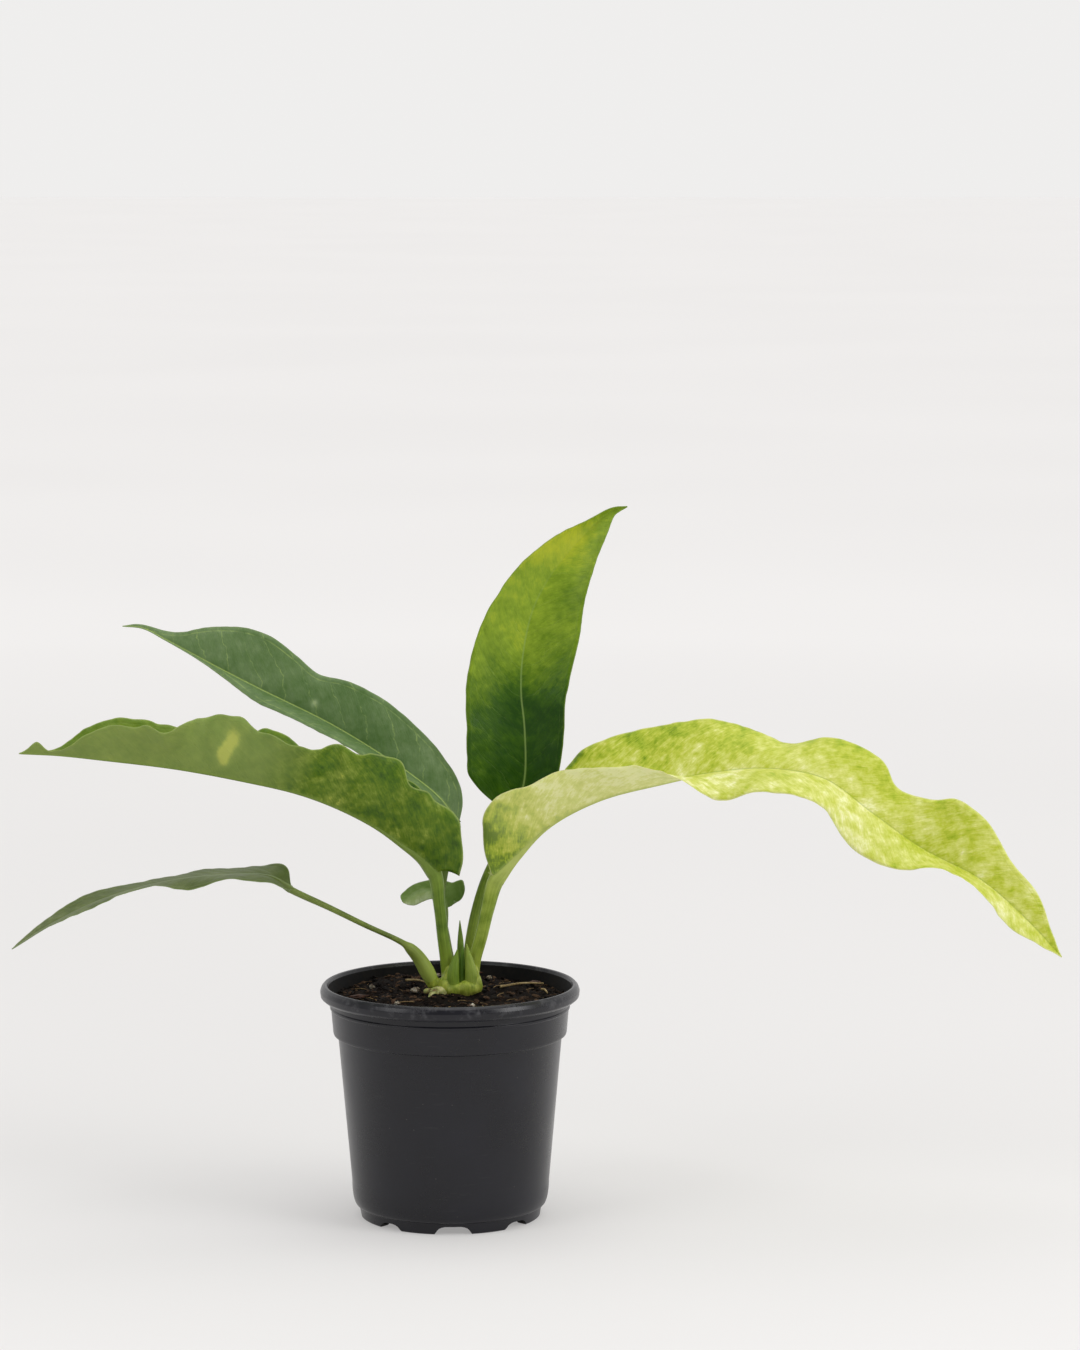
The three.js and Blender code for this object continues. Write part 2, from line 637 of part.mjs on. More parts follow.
const plant = new THREE.Group();
plant.position.z = peatLevel;
plant.add(named("crown", socketedCrown(), material("#8f9f3a", 0.5)));
leaves.forEach((leaf) => {
  plant.add(named(`petiole_${leaf.name}`, petiole(leaf, 0), material("#7f9a44", 0.45)));
  plant.add(named(`blade_${leaf.name}`, blade(leaf), material(leaf.colour, 0.4)));
});
scales.forEach((one) => {
  plant.add(named(one.name, scale(one, 0), material(one.colour, 0.45)));
});
group.add(plant, ...loosePieces());

export default group;
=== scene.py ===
import math
import bmesh
import bpy
import numpy as np
from mathutils import Matrix, Vector, noise


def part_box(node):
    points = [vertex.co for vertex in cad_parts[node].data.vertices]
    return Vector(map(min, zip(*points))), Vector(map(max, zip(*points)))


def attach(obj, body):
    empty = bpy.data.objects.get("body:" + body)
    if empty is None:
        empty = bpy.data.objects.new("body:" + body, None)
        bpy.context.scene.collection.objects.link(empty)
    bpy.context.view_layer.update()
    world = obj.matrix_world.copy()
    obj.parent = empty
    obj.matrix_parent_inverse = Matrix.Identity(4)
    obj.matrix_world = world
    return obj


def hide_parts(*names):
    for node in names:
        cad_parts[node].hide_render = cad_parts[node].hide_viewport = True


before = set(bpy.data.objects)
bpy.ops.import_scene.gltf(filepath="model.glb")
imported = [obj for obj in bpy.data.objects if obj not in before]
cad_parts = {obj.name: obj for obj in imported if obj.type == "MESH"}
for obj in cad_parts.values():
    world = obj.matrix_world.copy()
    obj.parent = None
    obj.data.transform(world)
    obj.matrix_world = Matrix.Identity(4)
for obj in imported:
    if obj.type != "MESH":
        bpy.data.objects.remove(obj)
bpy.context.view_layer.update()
mm = 0.001
potLow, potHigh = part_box("pot")
peatLevel = potHigh.z - 6 * mm  # the peat stands 6 mm below the rim
print("frame loaded,", len(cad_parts), "nodes")


# the camera and the studio's softboxes
camera = bpy.data.objects.new("camera", bpy.data.cameras.new("camera"))
camera.location = (0.052, -2.56, 0.625)
camera.rotation_euler = (math.radians(83.1), 0, 0)
camera.data.lens = 120
bpy.context.scene.collection.objects.link(camera)
bpy.context.scene.camera = camera
bpy.context.scene.view_settings.view_transform = "Standard"

# name: place, aim, width, height, power in watts
lamps = {
    "softboxLeft": ((-1.7, -1.3, 1.6), (0, 0, 0.2), 1.2, 1.6, 15),
    "softboxRight": ((1.8, -1.0, 1.3), (0, 0, 0.2), 1.0, 1.4, 20),
    "softboxTop": ((0.1, 0.1, 2.2), (0, 0, 0.2), 1.8, 1.8, 16),
}
for lampName, (place, aim, width, height, power) in lamps.items():
    light = bpy.data.lights.new(lampName, "AREA")
    light.shape = "RECTANGLE"
    light.size = width
    light.size_y = height
    light.energy = power
    lamp = bpy.data.objects.new(lampName, light)
    lamp.location = place
    lamp.rotation_euler = (Vector(aim) - Vector(place)).to_track_quat("-Z", "Y").to_euler()
    bpy.context.scene.collection.objects.link(lamp)


ofColours = {"out": 2, "data_type": "RGBA"}  # for a Mix node between colours


def linear(hexColour):
    channels = [int(hexColour[k:k + 2], 16) / 255 for k in (1, 3, 5)]
    return (*(c / 12.92 if c <= 0.04045 else ((c + 0.055) / 1.055) ** 2.4 for c in channels), 1)


def addNode(tree, kind, inputs=None, out=0, stops=None, **settings):
    # one node with its settings, its ramp stops and its values or links; gives back an output
    node = tree.nodes.new(kind)
    for name, value in settings.items():
        setattr(node, name, value)
    for k, (place, colour) in enumerate(stops or []):
        element = node.color_ramp.elements[k] if k < 2 else node.color_ramp.elements.new(place)
        element.position = place
        element.color = linear(colour)
    for socket, value in (inputs or {}).items():
        if isinstance(value, bpy.types.NodeSocket):
            tree.links.new(value, node.inputs[socket])
        else:
            node.inputs[socket].default_value = value
    return node.outputs[out] if len(node.outputs) else node


def startMaterial(name, constants):
    # the material, its tree, and the place on the piece that its patterns are laid out by
    material = bpy.data.materials.new(name)
    material.use_nodes = True
    tree = material.node_tree
    for socket, value in constants.items():
        tree.nodes["Principled BSDF"].inputs[socket].default_value = value
    return material, tree, addNode(tree, "ShaderNodeTexCoord", out="Object")


def finishMaterial(material, colour, roughness, height, depth):
    # colour, roughness and a bump of that depth in metres into the shader
    tree = material.node_tree
    bump = addNode(tree, "ShaderNodeBump", {"Strength": 1.0, "Distance": depth, "Height": height})
    for socket, source in (("Base Color", colour), ("Roughness", roughness), ("Normal", bump)):
        tree.links.new(source, tree.nodes["Principled BSDF"].inputs[socket])
    return material


def newPiece(name, mesh, material=None):
    piece = bpy.data.objects.new(name, mesh)
    bpy.context.scene.collection.objects.link(piece)
    if material:
        mesh.materials.append(material)
    return piece


def meshFrom(name, points, faces, smooth=True):
    mesh = bpy.data.meshes.new(name)
    mesh.from_pydata([tuple(p) for p in points], [], faces)
    mesh.validate()
    if smooth:
        mesh.shade_smooth()
    return mesh


def bandFaces(rows, around, first=0):
    # the faces between rows of points, where each row closes round
    faces = []
    for k in range(rows - 1):
        for j in range(around):
            a = first + k * around + j
            b = first + k * around + (j + 1) % around
            faces.append((a, b, b + around, a + around))
    return faces


def markPoints(mesh, marks):
    # values at the points, under the names that the material looks for
    for key, values in marks.items():
        data = np.ravel(values).astype(np.float32)
        mesh.attributes.new(key, "FLOAT", "POINT").data.foreach_set("value", data)


def plainMesh(piece):
    # what the modifiers make becomes the piece's own mesh
    depsgraph = bpy.context.evaluated_depsgraph_get()
    mesh = bpy.data.meshes.new_from_object(piece.evaluated_get(depsgraph), depsgraph=depsgraph)
    name = piece.name
    bpy.data.objects.remove(piece)
    return newPiece(name, mesh)


def settle(piece, slot, *nodes):
    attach(piece, "root")
    if nodes:
        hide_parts(*nodes)


def bentNoise(point, size, octaves=3):
    # -1 to 1, with lumps about as wide as size
    return noise.fractal(Vector(point) / size, 1.0, 2.0, octaves)


# the pot, in mm and degrees
potShape = {
    "around": 160,
    "lipHeight": 9, "lipOverhang": 6, "wall": 1.4,
    "collarHeight": 20, "collarTaper": 1.5, "collarStep": 2.8,
    "bodyTaper": 7.4, "heelHeight": 21, "heelInset": 3.2,
    "footHeight": 7, "footInset": 1.6, "footWidth": 7,
    "padRadius": 22, "floorRise": 4,
    "ringBelowLip": 4.4, "ringStandsOut": 0.55,
    "notches": 8, "notchWidth": 18, "notchHeight": 4.2, "notchSlope": 4.2, "notchMouth": 1.5,
    # how much the notches differ: turn in radians, mouth in mm, share of the height
    "notchTurn": 0.05, "strayTurn": 0.03, "strayMouth": 1.2, "strayHeight": 0.12,
    "dentDepth": 1.0, "dentTurn": 205, "dentHeight": 42, "dentSpread": 26,
    # the last value: how far below the rim, in mm, the inner wall's painted shade begins
    "creaseAngle": 35, "shadeBelowRim": 1.5,
}


def filleted(corners, steps=4):
    # (radius, height, fillet) corners, with each fillet drawn as an arc
    outline = []
    for k, (radius, height, fillet) in enumerate(corners):
        here = Vector((radius, height))
        if fillet == 0 or k in (0, len(corners) - 1):
            outline.append(here)
            continue
        back = Vector(corners[k - 1][:2]) - here
        ahead = Vector(corners[k + 1][:2]) - here
        half = back.angle(ahead) / 2
        reach = min(fillet / math.tan(half), back.length * 0.45, ahead.length * 0.45)
        start = here + back.normalized() * reach
        end = here + ahead.normalized() * reach
        for step in range(steps + 1):
            t = step / steps
            outline.append(start * (1 - t) ** 2 + here * 2 * t * (1 - t) + end * t ** 2)
    return outline


def potOutline():
    s = potShape
    height = potHigh.z / mm
    lip = (potHigh.x - potLow.x) / 2 / mm
    wall = s["wall"]
    lipBottom = height - s["lipHeight"]
    collarBottom = lipBottom - s["collarHeight"]
    collarTop = lip - s["lipOverhang"]
    collarLow = collarTop - s["collarTaper"]
    bodyTop = collarLow - s["collarStep"]
    bodyLow = bodyTop - s["bodyTaper"]
    heel = bodyLow - s["heelInset"]
    foot = heel - s["footInset"]
    footInner = foot - s["footWidth"]
    ring = lipBottom - s["ringBelowLip"]
    ringOut = collarTop - 0.2 + s["ringStandsOut"]

    def heelArc(inset, count=9):
        turns = [k / count * math.pi / 2 for k in range(count + 1)]
        rise = s["heelHeight"] - s["footHeight"]
        return [(heel + s["heelInset"] * math.sin(a) - inset, s["heelHeight"] - rise * math.cos(a), 0)
                for a in turns]

    return filleted([
        (0, 0, 0), (s["padRadius"], 0, 0.7), (s["padRadius"] + 1.5, s["floorRise"], 0.7),
        (footInner - 1, s["floorRise"], 0.9), (footInner, 0, 0.6), (foot - 0.4, 0, 1.2),
        (foot + 0.4, s["footHeight"] - 0.6, 0.8), *heelArc(0),
        (bodyTop, collarBottom - 0.9, 0.9), (collarLow - 0.3, collarBottom - 0.1, 0.7),
        (collarLow + 0.05, collarBottom + 1.2, 0.8),
        (collarTop - 0.3, ring - 1.1, 0.5), (ringOut, ring - 0.5, 0.4), (ringOut, ring + 0.5, 0.4),
        (collarTop - 0.2, ring + 1.1, 0.5), (collarTop, lipBottom, 0.9),
        (lip - 2.2, lipBottom + 0.3, 0.8), (lip - 0.35, lipBottom + 1.9, 1.4), (lip, lipBottom + 5, 2.0),
        (lip - 0.8, height - 1.7, 1.6), (lip - 2.4, height, 1.2), (lip - 3.8, height - 0.4, 0.8),
        (lip - 4.6, height - 2.1, 1.0), (collarTop - wall, lipBottom, 1.4),
        (collarLow - wall, collarBottom + 0.8, 0.9), (bodyTop - wall, collarBottom - 1.6, 0.9),
        *heelArc(wall)[:0:-1], (foot + 0.4 - wall, s["footHeight"], 0.5), (foot - wall, wall + 0.6, 0.5),
        (footInner + wall, wall, 0.3), (footInner + wall - 1, s["floorRise"] + wall, 0.4),
        (s["padRadius"] + 1.5 - wall, s["floorRise"] + wall, 0.3), (s["padRadius"] - wall, wall, 0.3),
        (0, wall, 0),
    ]), foot, footInner


def turnedMesh(name, outline, around):
    # closed turned body; the outline starts and ends on the axis
    points = [(0, 0, outline[0].y), (0, 0, outline[-1].y)]
    rings = outline[1:-1]
    for p in rings:
        for k in range(around):
            a = k / around * 2 * math.pi
            points.append((p.x * math.cos(a), p.x * math.sin(a), p.y))
    faces = bandFaces(len(rings), around, 2)
    top = 2 + (len(rings) - 1) * around
    for k in range(around):
        faces.append((0, 2 + (k + 1) % around, 2 + k))
        faces.append((1, top + k, top + (k + 1) % around))
    return meshFrom(name, np.array(points) * mm, faces)


def notchCutters(foot, footInner):
    # slots through the foot, each a little different from the next
    s = potShape
    points, faces = [], []
    for k in range(s["notches"]):
        turn = k / s["notches"] * 2 * math.pi + s["notchTurn"] + s["strayTurn"] * math.sin(3 * k)
        low = s["notchWidth"] / 2 + s["notchMouth"] + s["strayMouth"] * math.sin(5 * k + 1)
        high = low - s["notchSlope"]
        tall = s["notchHeight"] * (1 + s["strayHeight"] * math.cos(4 * k))
        right = [(low, -1), (high + 1.9, tall - 2.3), (high + 0.9, tall - 1.2), (high - 0.7, tall - 0.45),
                 (high - 2.8, tall)]
        corners = right + [(-x, z) for x, z in right[::-1]]
        start = len(points)
        for reach in (footInner - 3, foot + 3):
            for x, z in corners:
                points.append(Matrix.Rotation(turn, 3, "Z") @ Vector((x, -reach, z)) * mm)
        count = len(corners)
        faces.append([start + j for j in range(count)][::-1])
        faces.append([start + count + j for j in range(count)])
        faces += bandFaces(2, count, start)
    mesh = meshFrom("notchCutters", points, faces, smooth=False)
    tidy = bmesh.new()
    tidy.from_mesh(mesh)
    bmesh.ops.recalc_face_normals(tidy, faces=tidy.faces)
    tidy.to_mesh(mesh)
    tidy.free()
    return newPiece("notchCutters", mesh)


def potPlastic():
    # black polypropylene, injection moulded: satin, with a faint grain, handling scuffs and dust
    material, tree, place = startMaterial(
        "polypropylene_moulded", {"IOR": 1.49, "Specular IOR Level": 0.42})
    height = addNode(tree, "ShaderNodeSeparateXYZ", {0: place}, out="Z")
    cloud = addNode(tree, "ShaderNodeTexNoise", {"Vector": place, "Scale": 1 / (38 * mm), "Detail": 3})
    grain = addNode(tree, "ShaderNodeTexNoise", {"Vector": place, "Scale": 1 / (0.9 * mm), "Detail": 2})
    flat = addNode(tree, "ShaderNodeMapping", {0: place, 3: (1, 1, 9)})
    rubs = addNode(tree, "ShaderNodeTexNoise",
                   {"Vector": flat, "Scale": 1 / (16 * mm), "Detail": 6, "Roughness": 0.7})
    scuff = addNode(tree, "ShaderNodeMapRange", {0: rubs, 1: 0.6, 2: 0.78})
    specks = addNode(tree, "ShaderNodeTexVoronoi", {"Vector": place, "Scale": 1 / (7 * mm)})
    dust = addNode(tree, "ShaderNodeMapRange", {0: specks, 1: 0.06, 2: 0.03, 3: 0.0, 4: 0.8})
    lipBottom = potHigh.z - potShape["lipHeight"] * mm
    onLip = addNode(tree, "ShaderNodeMapRange", {0: height, 1: lipBottom, 2: lipBottom + 4 * mm})
    worn = addNode(tree, "ShaderNodeTexNoise",
                   {"Vector": place, "Scale": 1 / (9 * mm), "Detail": 5, "Roughness": 0.75})
    wear = addNode(tree, "ShaderNodeMapRange", {0: worn, 1: 0.52, 2: 0.68, 3: 0.0, 4: 0.7})
    lipWear = addNode(tree, "ShaderNodeMath", {0: onLip, 1: wear}, operation="MULTIPLY")
    body = addNode(tree, "ShaderNodeValToRGB", {0: cloud}, stops=[(0.3, "#0b0b12"), (0.7, "#14141d")])
    rubbed = addNode(tree, "ShaderNodeMix", {0: scuff, 6: body, 7: linear("#242427")}, **ofColours)
    dusty = addNode(tree, "ShaderNodeMix", {0: dust, 6: rubbed, 7: linear("#45433f")}, **ofColours)
    colour = addNode(tree, "ShaderNodeMix", {0: lipWear, 6: dusty, 7: linear("#4c4c4f")}, **ofColours)
    dulled = addNode(tree, "ShaderNodeMath", {0: scuff, 1: lipWear}, operation="MAXIMUM")
    satin = addNode(tree, "ShaderNodeMapRange", {0: cloud, 1: 0.3, 2: 0.7, 3: 0.24, 4: 0.34})
    roughness = addNode(tree, "ShaderNodeMath", {0: dulled, 1: 0.18, 2: satin}, operation="MULTIPLY_ADD")
    return finishMaterial(material, colour, roughness, grain, 0.03 * mm)


def shadedInsideMaterial():
    # the same plastic where it faces the peat: near-black painted shade inside the pot, with brownish peat
    # stains, and so little specular that it hardly shines
    material, tree, place = startMaterial(
        "polypropylene_inside_painted_shade", {"IOR": 1.49, "Specular IOR Level": 0.12})
    stain = addNode(tree, "ShaderNodeTexNoise", {"Vector": place, "Scale": 1 / (6 * mm), "Detail": 5})
    # painted shade: the inner wall is near black, with brownish peat stains in its lighter patches
    colour = addNode(tree, "ShaderNodeValToRGB", {0: stain}, stops=[(0.4, "#060606"), (0.75, "#1c1815")])
    roughness = addNode(tree, "ShaderNodeMapRange", {0: stain, 3: 0.5, 4: 0.8})
    return finishMaterial(material, colour, roughness, stain, 0.05 * mm)


outline, footRadius, footInnerRadius = potOutline()
pot = newPiece("pot_shell", turnedMesh("pot_shell", outline, potShape["around"]), potPlastic())
cutters = notchCutters(footRadius, footInnerRadius)
cut = pot.modifiers.new("notches", "BOOLEAN")
cut.object = cutters
cut.operation = "DIFFERENCE"
pot = plainMesh(pot)
bpy.data.objects.remove(cutters)
pot.data.set_sharp_from_angle(angle=math.radians(potShape["creaseAngle"]))
pot.data.materials.append(shadedInsideMaterial())
# inward faces below the rim take the material with the painted shade
for face in pot.data.polygons:
    inward = face.center.x * face.normal.x + face.center.y * face.normal.y < 0
    face.material_index = int(inward and face.center.z < potHigh.z - potShape["shadeBelowRim"] * mm)
dentAt = math.radians(potShape["dentTurn"])
for v in pot.data.vertices:
    facing = math.cos(math.atan2(v.co.y, v.co.x) - dentAt)
    away = (v.co.z / mm - potShape["dentHeight"]) / potShape["dentSpread"]
    if facing > 0:
        push = potShape["dentDepth"] * mm * facing ** 6 * math.exp(-away * away)
        v.co.x -= push * math.cos(dentAt)
        v.co.y -= push * math.sin(dentAt)
settle(pot, "pot_plastic", "pot")
print("pot made,", len(pot.data.polygons), "faces")


# the peat with its crumbs and fibres, in mm
peatShape = {
    "radius": 67.3, "rings": 105, "around": 210,
    # radius and height of the corners where it lies against the pot's inside
    "side": [(0, 1.7), (20, 1.7), (23, 5.7), (45, 5.7), (51, 8.6), (55.5, 21), (62.9, 105.4),
             (65.7, 108.1), (67.3, 127)],
    "unevenness": 1.2, "edgeDrop": 2.5, "clumps": 1.5, "clumpSize": 8, "grit": 0.5, "gritSize": 2.2,
    "heap": 2.2, "heapPlace": (-30, 48), "heapSpread": 500,
    "crumbSize": 2.2, "crumbsPerSquareMetre": 82000.0, "crumbSeed": 3,
    "fibreLength": 11, "fibreRadius": 0.22, "fibresPerSquareMetre": 6500.0, "fibreSeed": 8,
}


def peatRise(x, y):
    # soft waves, a heap at the back left, lower at the wall; mm
    s = peatShape
    waves = math.sin(x * 0.11 + 0.7) * math.cos(y * 0.13 - 0.4) + 0.5 * math.sin((x - y) * 0.21)
    heap = s["heap"] * math.exp(-math.dist((x, y), s["heapPlace"]) ** 2 / s["heapSpread"])
    return s["unevenness"] * waves + heap - s["edgeDrop"] * (math.hypot(x, y) / s["radius"]) ** 2


def peatMesh():
    s = peatShape
    level = peatLevel / mm
    outline = [Vector(corner) for corner in s["side"]]
    outline += [Vector((s["radius"] * (1 - k / s["rings"]), level)) for k in range(s["rings"] + 1)]
    mesh = turnedMesh("peat_fill", outline, s["around"])
    for v in mesh.vertices:
        if v.co.z > peatLevel - 1e-6:
            x, y = v.co.x / mm, v.co.y / mm
            rough = s["clumps"] * bentNoise((x, y, 3.1), s["clumpSize"])
            rough += s["grit"] * bentNoise((x, y, 9.4), s["gritSize"])
            v.co.z = peatLevel + (peatRise(x, y) + rough) * mm
    return mesh


def peatMaterial(name, darkest, middle, lightest, toneName=None):
    # sphagnum peat, milled and damp: nearly black in its gaps, brown on its crumbs, no shine
    material, tree, place = startMaterial(name, {"Specular IOR Level": 0.12})
    crumbs = addNode(tree, "ShaderNodeTexNoise",
                     {"Vector": place, "Scale": 1 / (3.2 * mm), "Detail": 6, "Roughness": 0.7})
    tone = crumbs
    if toneName:
        own = addNode(tree, "ShaderNodeAttribute", out="Fac", attribute_name=toneName)
        tone = addNode(tree, "ShaderNodeMix", {0: 0.72, 2: crumbs, 3: own}, data_type="FLOAT")
    colour = addNode(tree, "ShaderNodeValToRGB", {0: tone},
                     stops=[(0.3, darkest), (0.72, lightest), (0.52, middle)])
    fine = addNode(tree, "ShaderNodeTexNoise", {"Vector": place, "Scale": 1 / (0.8 * mm), "Detail": 4})
    roughness = addNode(tree, "ShaderNodeMapRange", {0: fine, 3: 0.8, 4: 1.0})
    return finishMaterial(material, colour, roughness, fine, 0.5 * mm)


def startTree(name, sockets):
    # a tree of geometry nodes with those named inputs
    tree = bpy.data.node_groups.new(name, "GeometryNodeTree")
    for socket, kind in sockets.items():
        tree.interface.new_socket(name=socket, in_out="INPUT", socket_type="NodeSocket" + kind)
    tree.interface.new_socket(name="Geometry", in_out="OUTPUT", socket_type="NodeSocketGeometry")
    return tree, tree.nodes.new("NodeGroupInput").outputs


def finishTree(tree, geometry, finish):
    real = addNode(tree, "GeometryNodeRealizeInstances", {0: geometry})
    done = addNode(tree, "GeometryNodeSetMaterial", {"Geometry": real, "Material": finish})
    addNode(tree, "NodeGroupOutput", {0: done})
    return tree


def strew(tree, given, steepest, shape, turned, size, seed):
    # the shape on points of the faces that look up more than steepest, each one with its own tone
    normal = addNode(tree, "GeometryNodeInputNormal")
    upward = addNode(tree, "ShaderNodeSeparateXYZ", {0: normal}, out="Z")
    facing = addNode(tree, "FunctionNodeCompare", {0: upward, 1: steepest}, operation="GREATER_THAN")
    spots = addNode(tree, "GeometryNodeDistributePointsOnFaces",
                    {"Mesh": given["Ground"], "Selection": facing,
                     "Density": given["Per Square Metre"], "Seed": given["Seed"]})
    strewn = addNode(tree, "GeometryNodeInstanceOnPoints",
                     {"Points": spots, "Instance": shape, "Pick Instance": True,
                      "Rotation": turned, "Scale": size})
    tone = addNode(tree, "FunctionNodeRandomValue",
                   {2: 0.0, 3: 1.0, "Seed": seed}, out=1, data_type="FLOAT")
    toned = addNode(tree, "GeometryNodeStoreNamedAttribute",
                    {"Geometry": strewn, "Name": "tone", "Value": tone},
                    data_type="FLOAT", domain="INSTANCE")
    return finishTree(tree, toned, given["Finish"])


def withNodes(piece, tree, values):
    modifier = piece.modifiers.new(tree.name, "NODES")
    modifier.node_group = tree
    for name, value in values.items():
        modifier[tree.interface.items_tree[name].identifier] = value
    return plainMesh(piece)


def crumbTree():
    # four uneven crumbs strewn over the upward faces, mostly small ones
    tree, given = startTree("crumbs", {"Ground": "Geometry", "Crumb Size": "Float",
                                       "Per Square Metre": "Float", "Seed": "Int", "Finish": "Material"})
    join = tree.nodes.new("GeometryNodeJoinGeometry")
    for k in range(4):
        ball = addNode(tree, "GeometryNodeMeshIcoSphere", {"Radius": 1.0, "Subdivisions": 2})
        at = addNode(tree, "GeometryNodeInputPosition")
        waves = addNode(tree, "ShaderNodeTexNoise",
                       {"Vector": at, "W": 3.7 * k + 1, "Scale": 1.3, "Detail": 2},
                       noise_dimensions="4D")
        swell = addNode(tree, "ShaderNodeMapRange", {0: waves, 1: 0.3, 2: 0.7, 3: 0.45, 4: 1.35})
        moved = addNode(tree, "ShaderNodeVectorMath", {0: at, 3: swell}, operation="SCALE")
        uneven = addNode(tree, "GeometryNodeSetPosition", {"Geometry": ball, "Position": moved})
        crumb = addNode(tree, "GeometryNodeGeometryToInstance", {0: uneven})
        tree.links.new(crumb, join.inputs[0])
    spread = addNode(tree, "FunctionNodeRandomValue",
                     {2: 0.0, 3: 1.0, "Seed": 11}, out=1, data_type="FLOAT")
    mostlySmall = addNode(tree, "ShaderNodeMath", {0: spread, 1: 2.6}, operation="POWER")
    grown = addNode(tree, "ShaderNodeMapRange", {0: mostlySmall, 3: 0.28, 4: 1.0})
    size = addNode(tree, "ShaderNodeMath", {0: grown, 1: given["Crumb Size"]}, operation="MULTIPLY")
    shapeOf = addNode(tree, "FunctionNodeRandomValue",
                      {0: (0.7, 0.6, 0.35), 1: (1.5, 1.0, 0.8), "Seed": 12},
                      data_type="FLOAT_VECTOR")
    scaled = addNode(tree, "ShaderNodeVectorMath", {0: shapeOf, 3: size}, operation="SCALE")
    turned = addNode(tree, "FunctionNodeRandomValue",
                     {0: (-0.5, -0.5, 0), 1: (0.5, 0.5, 6.28), "Seed": 13},
                     data_type="FLOAT_VECTOR")
    return strew(tree, given, 0.35, join.outputs[0], turned, scaled, 14)


def fibreTree():
    # thin bent fibres that lie on the peat
    tree, given = startTree("fibres", {"Ground": "Geometry", "Fibre Length": "Float",
                                       "Fibre Radius": "Float", "Per Square Metre": "Float",
                                       "Seed": "Int", "Finish": "Material"})
    bend = addNode(tree, "GeometryNodeCurvePrimitiveBezierSegment",
                   {"Resolution": 9, "Start": (-0.5, 0, 0.02), "Start Handle": (-0.2, 0.22, 0.1),
                    "End Handle": (0.15, -0.16, 0.1), "End": (0.5, 0.06, 0.0)})
    lengths = addNode(tree, "ShaderNodeCombineXYZ", {axis: given["Fibre Length"] for axis in range(3)})
    long = addNode(tree, "GeometryNodeTransform", {"Geometry": bend, "Scale": lengths})
    ring = addNode(tree, "GeometryNodeCurvePrimitiveCircle",
                   {"Resolution": 5, "Radius": given["Fibre Radius"]})
    tube = addNode(tree, "GeometryNodeCurveToMesh",
                   {"Curve": long, "Profile Curve": ring, "Fill Caps": True})
    smooth = addNode(tree, "GeometryNodeSetShadeSmooth", {0: tube})
    turned = addNode(tree, "FunctionNodeRandomValue",
                     {0: (-0.12, -0.12, 0), 1: (0.12, 0.12, 6.28), "Seed": 5},
                     data_type="FLOAT_VECTOR")
    size = addNode(tree, "FunctionNodeRandomValue", {2: 0.4, 3: 1.2, "Seed": 6}, out=1, data_type="FLOAT")
    fibre = addNode(tree, "GeometryNodeGeometryToInstance", {0: smooth})
    return strew(tree, given, 0.5, fibre, turned, size, 7)


peat = newPiece("peat_fill", peatMesh(), peatMaterial("peat_damp", "#050301", "#0f0804", "#22140a"))
crumbFinish = peatMaterial("peat_crumbled", "#070403", "#170e09", "#4d3b2d", toneName="tone")
crumbs = withNodes(newPiece("peat_crumbs", peat.data.copy()), crumbTree(),
                   {"Crumb Size": peatShape["crumbSize"] * mm, "Seed": peatShape["crumbSeed"],
                    "Per Square Metre": peatShape["crumbsPerSquareMetre"], "Finish": crumbFinish})
fibreFinish = peatMaterial("peat_fibre_dry", "#2a1a0e", "#4a3420", "#8a7350", toneName="tone")
fibres = withNodes(newPiece("peat_fibres", peat.data.copy()), fibreTree(),
                   {"Fibre Length": peatShape["fibreLength"] * mm,
                    "Fibre Radius": peatShape["fibreRadius"] * mm,
                    "Per Square Metre": peatShape["fibresPerSquareMetre"], "Seed": peatShape["fibreSeed"],
                    "Finish": fibreFinish})
settle(peat, "peat", "peat")
settle(crumbs, "peat")
settle(fibres, "straw")
print("peat made,", len(crumbs.data.polygons), "crumb faces,", len(fibres.data.polygons), "fibre faces")


def lump(centre, half, seed, roughness):
    # points and faces of one uneven grain inside a box
    ball = bmesh.new()
    bmesh.ops.create_icosphere(ball, subdivisions=3, radius=1)
    points = []
    for v in ball.verts:
        push = 0.9 + roughness * bentNoise(v.co + Vector((seed * 7.3, 0, 0)), 0.7, 4)
        points.append(Vector(c + h * push * a for c, h, a in zip(centre, half, v.co)))
    faces = [[v.index for v in f.verts] for f in ball.faces]
    ball.free()
    return points, faces


def grains(name, nodeNames, material, slot, roughness, flatten=1.0):
    points, faces = [], []
    for k, nodeName in enumerate(nodeNames):
        low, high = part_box(nodeName)
        centre = (low + high) / 2
        half = (high - low) / 2
        half.z *= flatten
        centre.z -= 0.4 * mm
        own, ownFaces = lump(centre, half, k + 1, roughness)
        faces += [[len(points) + j for j in face] for face in ownFaces]
        points += own
    piece = newPiece(name, meshFrom(name, points, faces), material)
    settle(piece, slot, *nodeNames)


def perliteMaterial():
    # expanded volcanic glass: chalky white, pitted, with peat dust in its hollows
    material, tree, place = startMaterial(
        "perlite_expanded", {"Subsurface Weight": 0.1, "Subsurface Scale": 0.5 * mm})
    pits = addNode(tree, "ShaderNodeTexVoronoi", {"Vector": place, "Scale": 1 / (0.7 * mm)})
    stain = addNode(tree, "ShaderNodeTexNoise", {"Vector": place, "Scale": 1 / (1.8 * mm), "Detail": 4})
    colour = addNode(tree, "ShaderNodeValToRGB", {0: stain},
                     stops=[(0.35, "#4a3c2c"), (0.7, "#c4bdae"), (0.5, "#8f8472")])
    roughness = addNode(tree, "ShaderNodeMapRange", {0: stain, 3: 0.7, 4: 0.95})
    return finishMaterial(material, colour, roughness, pits, 0.3 * mm)


